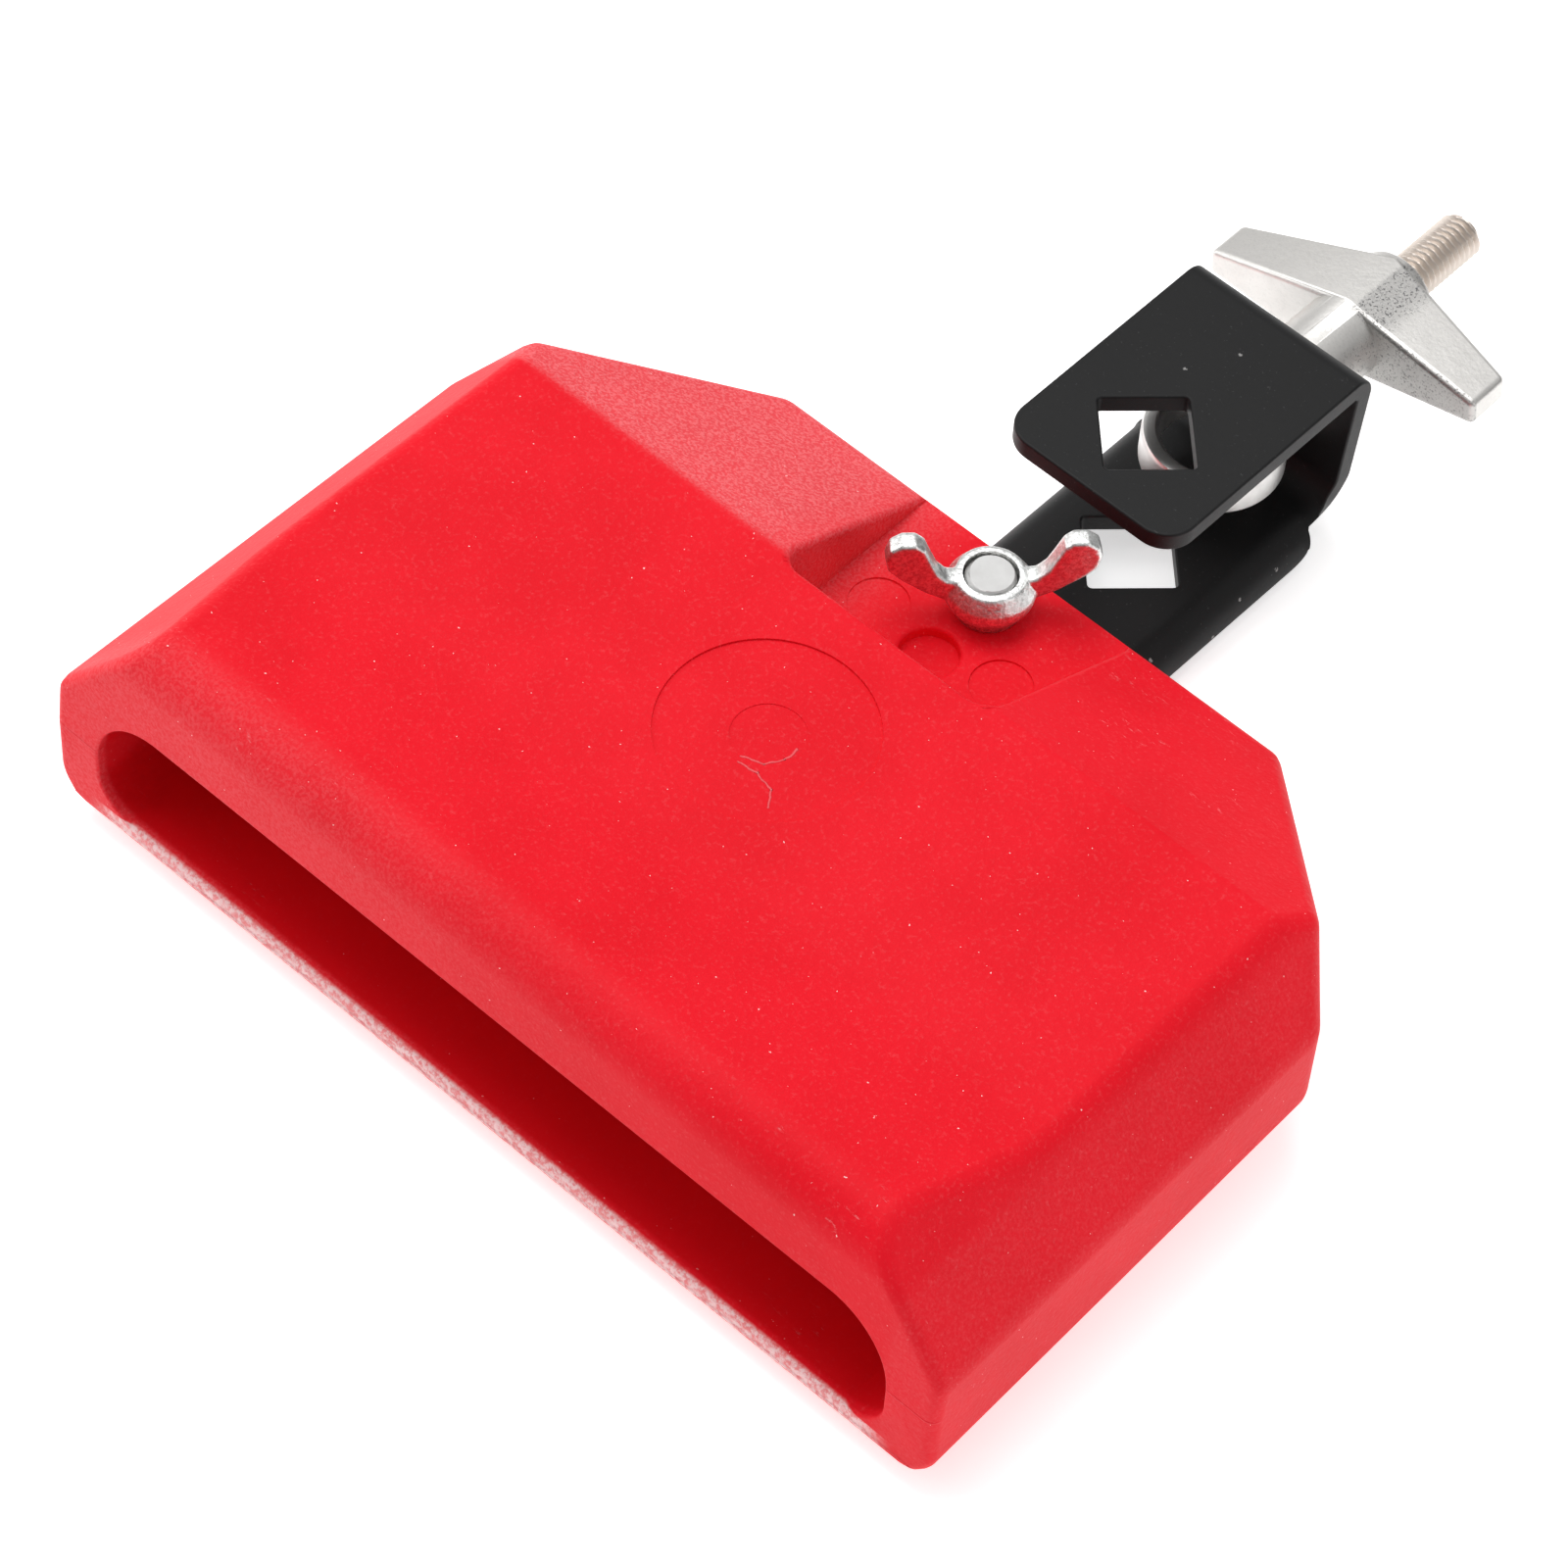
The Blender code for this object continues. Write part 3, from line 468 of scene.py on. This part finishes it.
# Scuffs: short pale strokes near the ends of the ridge and on the right of the rear slope.
strokes = place.stretched((0.0, 0.0, 0.35), (420.0, 1500.0, 900.0)).noise(1.0, 4.0, 0.7)
on_ridge = behind.ramp(0.001, 0.004) * behind.ramp(0.014, 0.008) * across.ramp(0.02, 0.05)
on_facet = behind.ramp(0.086, 0.092) * x.ramp(0.018, 0.028) * x.ramp(0.070, 0.045)
worn_zone = place.noise(95.0, 2.0).ramp(0.50, 0.66)
scuffs = strokes.ramp(0.60, 0.72) * worn_zone * on_ridge.math("MAXIMUM", on_ridge, on_facet)
colour = (scuffs * 0.62).over(colour, RED_WEAR_AND_SHEEN)
# The lip under the slot is left rough where the flash was trimmed off, and it is painted pale pink
# as a painted reflection of the white floor.
on_lip = height.ramp(-0.0121, -0.0124) * height.ramp(-0.0180, -0.0168)
on_lip = on_lip * behind.ramp(0.0022, 0.0014) * across.ramp(0.0810, 0.0740)
trim = place.noise(1150.0, 4.0, 0.75).ramp(0.40, 0.58)
# Painted reflection: the lip band is painted pale pink, mottled by the trim texture.
colour = (on_lip * (trim * 0.55 + 0.33)).over(colour, DUST_AND_LIP_SHEEN)
specks = place.noise(1700.0, 1.0, 0.4).ramp(0.800, 0.815)
colour = (specks * 0.8).over(colour, DUST_AND_LIP_SHEEN)
# Painted shade: the inside of the sound slot is painted a darker red.
colour = (in_cavity * 0.75).over(colour, RED_CAVITY_SHADE)
relief = (grain * (1.0 - in_cavity * 0.85)).bump(0.000055)
relief = (coarse * (1.0 - in_cavity)).bump(0.00009, relief)
relief = (stipple * coarse_grain_and_sheen).bump(0.00006, relief)
relief = place.noise(62.0, 2.0).bump(0.00022, relief)
relief = (trim * on_lip).bump(0.00003, relief)
relief = scuffs.bump(-0.00005, relief)
parting = abs(height).ramp(0.00022, 0.00006) * behind.ramp(0.0018, 0.0006)
relief = parting.bump(0.00012, relief)
# A hair of flash lies across the gate mark, and another follows its inner ring.
wander = place.node("VectorMath", {"operation": "MULTIPLY_ADD"}, {
    0: place.node("TexNoise", {}, {"Vector": place, "Scale": 700.0}, 1),
    1: (0.0007, 0.0007, 0.0), 2: place})
gate_y = front_y + GATE_RINGS[0][1]
HAIRS = (((0.0012, -0.0066), (0.0046, -0.0062), (0.0079, -0.0071), (0.0098, -0.0096)),
         ((0.0006, -0.0056), (0.0040, -0.0043), (0.0057, -0.0016), (0.0057, 0.0010)))
for hair in HAIRS:
    for first, last in zip(hair, hair[1:]):
        away = wander.strand((first[0], first[1] + gate_y), (last[0], last[1] + gate_y))
        burr = away.ramp(0.00022, 0.00008) * height.ramp(0.0195, 0.0205)
        colour = (burr * 0.34).over(colour, RED_WEAR_AND_SHEEN)
        relief = burr.bump(0.00012, relief)
gloss = 0.40 + patches * 0.10 + grain * 0.10 - in_cavity * 0.14 + on_lip * 0.2
connect(shader, Base_Color=colour, Roughness=gloss, Normal=relief)
block.data.materials.append(red_plastic)
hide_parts("block_body")
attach(block, "block")

# ---------------------------------------------------------------------------------------------
# Carriage bolt. An M8 carriage bolt of zinc plated steel: its domed head and square neck sit
# under the bracket's leg, and its thread comes up through the block to end flush with the nut.
BOLT_RADIUS = 0.004
PITCH = 0.00125
THREAD_DEPTH = 0.00074
HEAD_RADIUS = 0.0098
HEAD_HEIGHT = 0.0042
HEAD_RIM = 0.0008
DOME_RINGS = 9
ROOT_OVERLAP = 0.001


def threaded_rod(name, radius, length, plain, chamfer, sides=56):
    """A rod along Z from z = 0 whose helical thread starts after a plain stretch."""
    rows = round(length / PITCH * 8.0)
    bpy.ops.object.select_all(action="DESELECT")
    bpy.ops.mesh.primitive_grid_add(x_subdivisions=sides, y_subdivisions=rows, size=1.0)
    rod = added(name)
    for vertex in rod.data.vertices:
        share = vertex.co.x + 0.5
        along = (vertex.co.y + 0.5) * length
        wave = abs(((along / PITCH - share) % 1.0) * 2.0 - 1.0)
        groove = THREAD_DEPTH * min(max(wave * 1.35 - 0.15, 0.0), 1.0)
        groove *= min(max((along - plain) / PITCH, 0.0), 1.0)
        reach = min(radius - groove, radius - chamfer + (length - along))
        turn = share * 2.0 * math.pi
        vertex.co = (reach * math.cos(turn), reach * math.sin(turn), along)
    bpy.ops.object.mode_set(mode="EDIT")
    bpy.ops.mesh.select_all(action="SELECT")
    bpy.ops.mesh.remove_doubles(threshold=0.00001)
    bpy.ops.mesh.fill_holes(sides=0)
    bpy.ops.mesh.select_all(action="SELECT")
    bpy.ops.mesh.normals_make_consistent(inside=False)
    bpy.ops.object.mode_set(mode="OBJECT")
    return rod


head_top = bolt_low.z + HEAD_HEIGHT
shank = threaded_rod("carriage_bolt_threaded", BOLT_RADIUS,
                     bolt_high.z - head_top + ROOT_OVERLAP, 0.006, 0.0005)
shank.data.transform(Matrix.Translation((0.0, bolt_y, head_top - ROOT_OVERLAP)))
dome = pin("bolt_dome", HEAD_RADIUS, bolt_low.z, head_top, 0.0, bolt_y)
only(dome)
bpy.ops.object.mode_set(mode="EDIT")
bpy.ops.mesh.select_all(action="DESELECT")
bpy.ops.object.mode_set(mode="OBJECT")
for face in dome.data.polygons:
    face.select = face.normal.z < -0.5
bpy.ops.object.mode_set(mode="EDIT")
for ring in range(DOME_RINGS):
    bpy.ops.mesh.inset(thickness=HEAD_RADIUS / (DOME_RINGS + 1))
bpy.ops.object.mode_set(mode="OBJECT")
for vertex in dome.data.vertices:
    away = math.hypot(vertex.co.x, vertex.co.y - bolt_y) / HEAD_RADIUS
    if vertex.co.z < head_top - 0.0001:
        bulge = math.sqrt(max(1.0 - away ** 2, 0.0))
        vertex.co.z = head_top - HEAD_RIM - (HEAD_HEIGHT - HEAD_RIM) * bulge
carve(shank, dome, "UNION")
NECK_HALF = 0.0042
SLACK = 0.0003
STRIP = 0.0035
PLATE_GAP = 0.0251
bracket_low, bracket_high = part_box("mounting_bracket")
leg_top = bracket_high.z - STRIP - PLATE_GAP
neck = crate("bolt_neck", (-NECK_HALF, bolt_y - NECK_HALF, head_top - SLACK),
             (NECK_HALF, bolt_y + NECK_HALF, leg_top - SLACK))
soften(neck, 0.0004, 2, lambda middle, run: True)
carve(shank, neck, "UNION")
settle(shank, 40.0)

bright_zinc, place, shader = finish("bright_zinc_plate", Metallic=1.0)
mottle = place.noise(260.0, 4.0, 0.6)
fine = place.noise(2400.0, 3.0, 0.6)
x, y, z = place.parts()
threads = y.ramp(0.066, 0.068)
colour = mottle.ramp(0.3, 0.7).over((0.74, 0.735, 0.72, 1.0), (0.62, 0.61, 0.595, 1.0))
colour = (threads * 0.85).over(colour, (0.68, 0.60, 0.535, 1.0))
end = (z - bolt_high.z).ramp(-0.0006, -0.0003)
colour = (end * 0.8).over(colour, (0.60, 0.60, 0.595, 1.0))
connect(shader, Base_Color=colour,
        Roughness=0.24 + mottle * 0.16 + fine * 0.08 + threads * 0.06 + end * 0.30,
        Normal=fine.bump(0.000012, mottle.bump(0.00003)))
shank.data.materials.append(bright_zinc)
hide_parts("carriage_bolt")
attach(shank, "bolt")

# ---------------------------------------------------------------------------------------------
# Mounting bracket. One strip of 3.5 mm steel: a leg with its long edges rolled down, a neck,
# an upright web and a plate with round corners. Both ends are punched with a square hole for
# the rod, and the whole strip is powder coated in satin black.
web_y = bracket_high.y
PLATE_HALF = 0.01715
PLATE_FRONT = web_y - 0.0488
LEG_HALF = 0.0182
NECK_HALF_WIDTH = 0.0158
WEB_FOOT_HALF = 0.0162
ROLL_RADIUS = 0.0023 + STRIP / 2.0
LOWER_BEND = 0.0050 + STRIP / 2.0
UPPER_BEND = 0.0008 + STRIP / 2.0
CORNER = 0.0055
NECK_RUN = 0.0062
BEFORE_BEND = 0.0005
ROD_HOLE = 0.0142
ROD_HOLE_CORNER = 0.0008
NECK_HOLE_HALF = 0.00455
STUD_HOLE = 0.0045
EDGE_BREAK = 0.0004
plate_z = bracket_high.z - STRIP / 2.0
leg_z = leg_top - STRIP / 2.0
flat_half = LEG_HALF - STRIP / 2.0 - ROLL_RADIUS
rolled_half = flat_half + ROLL_RADIUS * math.pi / 2.0
web_middle = web_y - STRIP / 2.0
neck_y = web_middle - LOWER_BEND - BEFORE_BEND


def strip_stations(arc):
    """Places along the strip, as (y, z, lean, half width, share of the rolled edge)."""
    stations = [(bracket_low.y, leg_z, 0.0, rolled_half, 1.0)]
    roll_end = neck_y - NECK_RUN
    for step in range(arc + 1):
        turn = math.pi / 2.0 * step / arc
        half = NECK_HALF_WIDTH + (rolled_half - NECK_HALF_WIDTH) * math.cos(turn)
        roll = 1.0 - 0.5 * math.sin(turn) ** 6
        stations.append((roll_end + NECK_RUN * math.sin(turn), leg_z, 0.0, half, roll))
    for step in range(arc + 1):
        turn = math.pi / 2.0 * step / arc
        flare = min(max(2.0 * step / arc - 1.0, 0.0), 1.0)
        flare = flare * flare * (3.0 - 2.0 * flare)
        half = NECK_HALF_WIDTH + (WEB_FOOT_HALF - NECK_HALF_WIDTH) * flare
        roll = 0.5 * max(math.cos(2.0 * turn), 0.0)
        stations.append((web_middle - LOWER_BEND + LOWER_BEND * math.sin(turn),
                         leg_z + LOWER_BEND - LOWER_BEND * math.cos(turn), turn, half, roll))
    for step in range(arc + 1):
        turn = math.pi / 2.0 * step / arc
        stations.append((web_middle - UPPER_BEND + UPPER_BEND * math.cos(turn),
                         plate_z - UPPER_BEND + UPPER_BEND * math.sin(turn),
                         math.pi / 2.0 + turn, PLATE_HALF, 0.0))
    for step in range(arc + 1):
        turn = math.pi / 2.0 * step / arc
        half = PLATE_HALF - CORNER * (1.0 - math.cos(turn))
        stations.append((PLATE_FRONT + CORNER - CORNER * math.sin(turn), plate_z, math.pi, half,
                         0.0))
    return stations


BEND_STEPS = 14
ROLL_STEPS = 12
stations = strip_stations(BEND_STEPS)
columns = [flat_half + (rolled_half - flat_half) * step / ROLL_STEPS
           for step in range(ROLL_STEPS + 1)]
shares = [-column / rolled_half for column in reversed(columns)]
shares += [column / rolled_half for column in columns]
bpy.ops.object.select_all(action="DESELECT")
bpy.ops.mesh.primitive_grid_add(x_subdivisions=len(shares) - 1, y_subdivisions=len(stations) - 1,
                                size=1.0)
bracket = added("bracket_strip")
for vertex in bracket.data.vertices:
    column = round((vertex.co.x + 0.5) * (len(shares) - 1))
    row = round((vertex.co.y + 0.5) * (len(stations) - 1))
    y, z, lean, half, roll = stations[row]
    reach = abs(shares[column]) * half
    drop = 0.0
    if roll > 0.0 and reach > flat_half:
        radius = ROLL_RADIUS / roll
        angle = (reach - flat_half) / radius
        reach = flat_half + radius * math.sin(angle)
        drop = radius * (1.0 - math.cos(angle))
    vertex.co = (math.copysign(reach, shares[column]), y + drop * math.sin(lean),
                 z - drop * math.cos(lean))
settle(bracket, 180.0)
applied(bracket, "SOLIDIFY", thickness=STRIP, offset=0.0)

rod_y = web_y - 0.0341
HOLE_REACH = ROD_HOLE / math.sqrt(2.0)
low_z = bracket_low.z - 0.004
diamond = [(-HOLE_REACH, rod_y, low_z), (0.0, rod_y - HOLE_REACH, low_z),
           (HOLE_REACH, rod_y, low_z), (0.0, rod_y + HOLE_REACH, low_z)]
punch = extruded("rod_punch", diamond, (0.0, 0.0, 0.048))
soften(punch, ROD_HOLE_CORNER, 5, lambda middle, run: abs(run.z) > 0.9)
carve(bracket, punch)
punch = crate("neck_punch", (-NECK_HOLE_HALF, bolt_y - NECK_HOLE_HALF, low_z),
              (NECK_HOLE_HALF, bolt_y + NECK_HOLE_HALF, leg_top + STRIP))
carve(bracket, punch)
stud_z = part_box("eye_bolt")[0].z + BOLT_RADIUS
drill = pin("stud_drill", STUD_HOLE, -0.006, 0.006)
drill.data.transform(Matrix.Translation((0.0, web_middle, stud_z))
                     @ Matrix.Rotation(math.pi / 2.0, 4, "X"))
carve(bracket, drill)
only(bracket)
bpy.ops.object.mode_set(mode="EDIT")
bpy.ops.mesh.select_all(action="SELECT")
bpy.ops.mesh.dissolve_limited(angle_limit=math.radians(0.4))
bpy.ops.object.mode_set(mode="OBJECT")


def clear_of_neck(middle, run):
    """Every edge but those in the tight inner corners of the neck."""
    return abs(middle.y - neck_y) > 0.0022 or abs(middle.x) < 0.0120


soften(bracket, EDGE_BREAK, 3, clear_of_neck, 48.0)
settle(bracket, 40.0)

black_coat, place, shader = finish("black_powder_coat", Specular_IOR_Level=0.21)
peel = place.noise(620.0, 3.0, 0.55)
dust = place.noise(1900.0, 2.0, 0.5)
clouds = place.noise(48.0, 4.0, 0.6)
rare = place.cells(150.0).ramp(0.075, 0.045)
chips = rare * dust.ramp(0.42, 0.52)
colour = clouds.over((0.0060, 0.0060, 0.0063, 1.0), (0.0095, 0.0095, 0.0098, 1.0))
colour = (dust.ramp(0.66, 0.80) * 0.10).over(colour, (0.30, 0.30, 0.30, 1.0))
colour = (chips * 0.55).over(colour, (0.48, 0.47, 0.46, 1.0))
relief = dust.bump(0.000010, peel.bump(0.000022))
connect(shader, Base_Color=colour, Roughness=0.37 + clouds * 0.10 + dust * 0.10, Normal=relief)
bracket.data.materials.append(black_coat)
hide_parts("mounting_bracket")
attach(bracket, "bracket")

# ---------------------------------------------------------------------------------------------
# Block wing nut. A small zinc die casting, barrel plated: a waisted hub on a machined foot,
# with two thick rounded ears whose crests sweep down into the hub.
nut_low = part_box("block_wing_nut")[0]
EAR_TURN = math.radians(46.0)
BORE = 0.0043
HUB_HEIGHT = 0.0079
EAR_HALF = 0.0017
GRAIN = 0.00022


def lathed(name, profile, steps=96):
    """An (r, z) outline spun about Z into a closed body."""
    bpy.ops.object.select_all(action="DESELECT")
    bpy.ops.mesh.primitive_circle_add(vertices=len(profile), radius=1.0, fill_type="NOTHING")
    piece = added(name)
    for vertex, (r, z) in zip(piece.data.vertices, profile):
        vertex.co = (r, 0.0, z)
    bpy.ops.object.mode_set(mode="EDIT")
    bpy.ops.mesh.select_all(action="SELECT")
    bpy.ops.mesh.spin(steps=steps, angle=2.0 * math.pi, center=(0.0, 0.0, 0.0),
                      axis=(0.0, 0.0, 1.0))
    bpy.ops.mesh.select_all(action="SELECT")
    bpy.ops.mesh.remove_doubles(threshold=0.000004)
    bpy.ops.mesh.normals_make_consistent(inside=False)
    bpy.ops.object.mode_set(mode="OBJECT")
    return piece


hub = lathed("wing_nut_casting", [
    (0.0020, HUB_HEIGHT), (0.0053, HUB_HEIGHT), (0.0056, HUB_HEIGHT - 0.0004), (0.0063, 0.0064),
    (0.0069, 0.0054), (0.0071, 0.0044), (0.0069, 0.0034), (0.0063, 0.0024), (0.0053, 0.0015),
    (0.0053, 0.0008), (0.0020, 0.0008)])
EAR_TIP = 0.0163
ear_outline = [(0.0040, 0.0034), (0.0068, 0.0034), (0.0100, 0.0052), (0.0140, 0.0084),
               (0.0158, 0.0104), (EAR_TIP, 0.0128), (0.0157, 0.0150), (0.0140, 0.0163),
               (0.0118, 0.0163), (0.0104, 0.0150), (0.0093, 0.0122), (0.0082, 0.0096),
               (0.0068, 0.0080), (0.0040, 0.0076)]
for half_turn in range(2):
    ear = extruded("ear", [(r, -EAR_HALF, z) for r, z in ear_outline], (0.0, 2.0 * EAR_HALF, 0.0))
    soften(ear, 0.0007, 3, lambda middle, run: abs(middle.y) > 0.9 * EAR_HALF, 50.0)
    ear.data.transform(Matrix.Rotation(math.pi * half_turn, 4, "Z"))
    carve(hub, ear, "UNION")
applied(hub, "REMESH", mode="VOXEL", voxel_size=GRAIN)
applied(hub, "SMOOTH", factor=0.5, iterations=5)
foot = lathed("foot", [(0.0030, 0.0020), (0.0051, 0.0020), (0.0053, 0.0018), (0.0053, 0.0002),
                       (0.0051, 0.0000), (0.0030, 0.0000)])
carve(hub, foot, "UNION")
bore = pin("bore", BORE, -0.002, 0.02)
carve(hub, bore)
hub.data.transform(Matrix.Translation((0.0, bolt_y, nut_low.z))
                   @ Matrix.Rotation(EAR_TURN, 4, "Z"))
settle(hub, 50.0)

zinc_casting, place, shader = finish("speckled_zinc_casting", Metallic=1.0)
speckle = place.noise(1700.0, 3.0, 0.65)
blotch = place.noise(420.0, 3.0, 0.6)
colour = speckle.ramp(0.40, 0.62).over((0.60, 0.60, 0.59, 1.0), (0.84, 0.85, 0.84, 1.0))
connect(shader, Base_Color=colour, Roughness=0.17 + blotch * 0.20 + speckle * 0.14,
        Normal=speckle.bump(0.00009, blotch.bump(0.00009)))
hub.data.materials.append(zinc_casting)
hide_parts("block_wing_nut")
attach(hub, "block_nut")

# ---------------------------------------------------------------------------------------------
# Eye bolt. A turned steel ring welded to a threaded stud, zinc plated bright. The rod of the
# stand runs through the ring, and the clamp's wing nut draws it back towards the web.
eye_low, eye_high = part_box("eye_bolt")
EYE_OUTER = 0.0116
EYE_INNER = 0.0086
EYE_HALF = 0.0035
eye_y = eye_low.y + EYE_OUTER
eye = lathed("eye_ring_and_stud", [
    (EYE_OUTER - 0.0009, EYE_HALF), (EYE_OUTER - 0.0003, EYE_HALF - 0.0002),
    (EYE_OUTER, EYE_HALF - 0.0008), (EYE_OUTER, 0.0008 - EYE_HALF),
    (EYE_OUTER - 0.0003, 0.0002 - EYE_HALF), (EYE_OUTER - 0.0009, -EYE_HALF),
    (EYE_INNER + 0.0009, -EYE_HALF), (EYE_INNER + 0.0007, 0.0007 - EYE_HALF),
    (EYE_INNER + 0.0001, 0.0008 - EYE_HALF), (EYE_INNER, 0.0011 - EYE_HALF),
    (EYE_INNER, EYE_HALF - 0.0011), (EYE_INNER + 0.0001, EYE_HALF - 0.0008),
    (EYE_INNER + 0.0007, EYE_HALF - 0.0007), (EYE_INNER + 0.0009, EYE_HALF)], 144)
eye.data.transform(Matrix.Translation((0.0, eye_y, stud_z)))
root_y = eye_y + (EYE_INNER + EYE_OUTER) / 2.0
stud = threaded_rod("stud", BOLT_RADIUS, eye_high.y - root_y, 0.010, 0.0006)
stud.data.transform(Matrix.Translation((0.0, root_y, stud_z))
                    @ Matrix.Rotation(-math.pi / 2.0, 4, "X"))
carve(eye, stud, "UNION")
settle(eye, 40.0)
eye.data.materials.append(bright_zinc)
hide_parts("eye_bolt")
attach(eye, "eye")

# ---------------------------------------------------------------------------------------------
# Clamp wing nut. A T-shaped casting with a long round boss and two tapered wings, tumbled and
# plated in satin nickel, so its flats are smooth and its flanks keep the grain of the mould. Its
# right flank is painted dark as a painted reflection.
clamp_low, clamp_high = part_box("clamp_wing_nut")
BOSS = 0.0072
WING_TURN = math.radians(-6.0)
WING_HALF = 0.0267
EDGE_ROUND = 0.0010
wing_nut = pin("t_wing_nut", BOSS, 0.0, clamp_high.y - clamp_low.y)
soften(wing_nut, EDGE_ROUND, 5, lambda middle, run: True)
wing_nut.data.transform(Matrix.Translation((0.0, clamp_low.y, 0.0))
                        @ Matrix.Rotation(-math.pi / 2.0, 4, "X"))
ROOT_NEAR, ROOT_FAR, ROOT_THICK = 0.0162, 0.0298, 0.0148
TIP_NEAR, TIP_FAR, TIP_THICK = 0.0154, 0.0236, 0.0046
wings = crate("wings", (-1.0, -0.5, -0.5), (1.0, 0.5, 0.5))
only(wings)
bpy.ops.object.mode_set(mode="EDIT")
bpy.ops.mesh.select_all(action="SELECT")
bpy.ops.mesh.bisect(plane_co=(0.0, 0.0, 0.0), plane_no=(1.0, 0.0, 0.0))
bpy.ops.object.mode_set(mode="OBJECT")
for vertex in wings.data.vertices:
    side = round(vertex.co.x)
    near, far, thick = (TIP_NEAR, TIP_FAR, TIP_THICK) if side else (ROOT_NEAR, ROOT_FAR, ROOT_THICK)
    vertex.co = (side * WING_HALF, clamp_low.y + (far if vertex.co.y > 0.0 else near),
                 math.copysign(thick / 2.0, vertex.co.z))
soften(wings, EDGE_ROUND, 5,
       lambda middle, run: abs(run.x) > 0.5 or abs(middle.x) > WING_HALF * 0.9, 40.0)
carve(wing_nut, wings, "UNION")
bore = pin("thread_bore", BORE, -0.01, 0.05)
bore.data.transform(Matrix.Translation((0.0, clamp_low.y, 0.0))
                    @ Matrix.Rotation(-math.pi / 2.0, 4, "X"))
carve(wing_nut, bore)
wing_nut.data.transform(Matrix.Translation((0.0, 0.0, stud_z))
                        @ Matrix.Rotation(WING_TURN, 4, "Y"))
settle(wing_nut, 40.0)

satin_nickel, place, shader = finish("satin_nickel_casting", Metallic=1.0)
speckle = place.noise(1500.0, 3.0, 0.6)
blotch = place.noise(300.0, 3.0, 0.6)
pits = place.noise(2300.0, 3.0, 0.7).ramp(0.54, 0.64)
x, y, z = place.parts()
along = y - clamp_low.y
# Painted reflection: the right of the boss before the wings and the top right of the wings' root are
# painted near black as a dark reflection; the same mask deepens the pits' relief there.
flank = along.ramp(ROOT_NEAR + 0.0003, ROOT_NEAR) * x.ramp(0.0045, 0.0065)
shoulder = x.ramp(0.0004, 0.0014) * x.ramp(0.0100, 0.0055) * along.ramp(0.0150, 0.0166)
grain_and_dark_reflection = flank.math("MAXIMUM", flank * 0.8, shoulder * (z - stud_z).ramp(0.0030, 0.0045))
colour = blotch.over((0.74, 0.725, 0.70, 1.0), (0.62, 0.605, 0.585, 1.0))
colour = (pits * 0.08 + grain_and_dark_reflection * (0.30 + pits * 0.50)).over(colour, (0.10, 0.10, 0.105, 1.0))
connect(shader, Base_Color=colour, Roughness=0.30 + blotch * 0.12 + speckle * 0.12,
        Normal=speckle.bump(0.00003, (pits * grain_and_dark_reflection).bump(-0.00004, blotch.bump(0.00005))))
wing_nut.data.materials.append(satin_nickel)
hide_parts("clamp_wing_nut")
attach(wing_nut, "clamp_nut")

# ---------------------------------------------------------------------------------------------
# Studio. A plain white floor, a large soft light overhead, weaker ones from both sides and a
# surround that darkens to the right and towards the slot. The camera is high on the right.
bpy.ops.object.select_all(action="DESELECT")
bpy.ops.mesh.primitive_plane_add(size=8.0, location=(0.0, 0.0, -0.0002))
floor = bpy.context.object
floor.name = "studio_floor"
white_floor, place, shader = finish("white_floor", Roughness=0.9, Emission_Strength=0.55,
                                    Emission_Color=(1.0, 1.0, 1.0, 1.0))
colour = place.noise(3.0).over((0.90, 0.90, 0.90, 1.0), (0.92, 0.92, 0.92, 1.0))
connect(shader, Base_Color=colour)
floor.data.materials.append(white_floor)

for name, spot, size, power in (("overhead", (-0.35, 0.10, 1.2), 0.9, 9.0),
                                ("left", (-1.1, -0.5, 0.6), 0.8, 4.0),
                                ("right", (1.2, 0.10, 0.45), 0.7, 2.2)):
    bpy.ops.object.light_add(type="AREA", location=spot)
    lamp = bpy.context.object
    lamp.name = name
    lamp.data.shape = "SQUARE"
    lamp.data.size = size
    lamp.data.energy = power
    lamp.rotation_euler = (-Vector(spot)).to_track_quat("-Z", "Y").to_euler()

world = bpy.data.worlds.new("pale_surround")
world.use_nodes = True
bpy.context.scene.world = world
backdrop = world.node_tree.nodes["Background"]
sky = Signal(world.node_tree)
east, north, up = sky.node("TexCoord", {}, {}, "Generated").parts()
dusk = east.ramp(-0.5, 0.6) * up.ramp(0.62, 0.25)
south = north.ramp(-0.05, -0.75) * up.ramp(0.85, 0.45)
dusk = dusk.math("MAXIMUM", dusk, south * 0.65)
glow = dusk.over((0.92, 0.92, 0.92, 1.0), (0.10, 0.10, 0.10, 1.0))
world.node_tree.links.new(glow.socket, backdrop.inputs["Color"])
backdrop.inputs["Strength"].default_value = 0.68

bpy.ops.object.camera_add()
camera = bpy.context.object
camera.name = "studio_camera"
camera.data.lens = 134.49
camera.data.sensor_width = 36.0
camera.matrix_world = (Matrix.Translation((0.3267, -0.4523, 0.7132))
                       @ Matrix.Rotation(math.radians(38.995), 4, "Z")
                       @ Matrix.Rotation(math.radians(37.013), 4, "X")
                       @ Matrix.Rotation(math.radians(4.42), 4, "Z"))
bpy.context.scene.camera = camera
bpy.context.scene.view_settings.view_transform = "Standard"
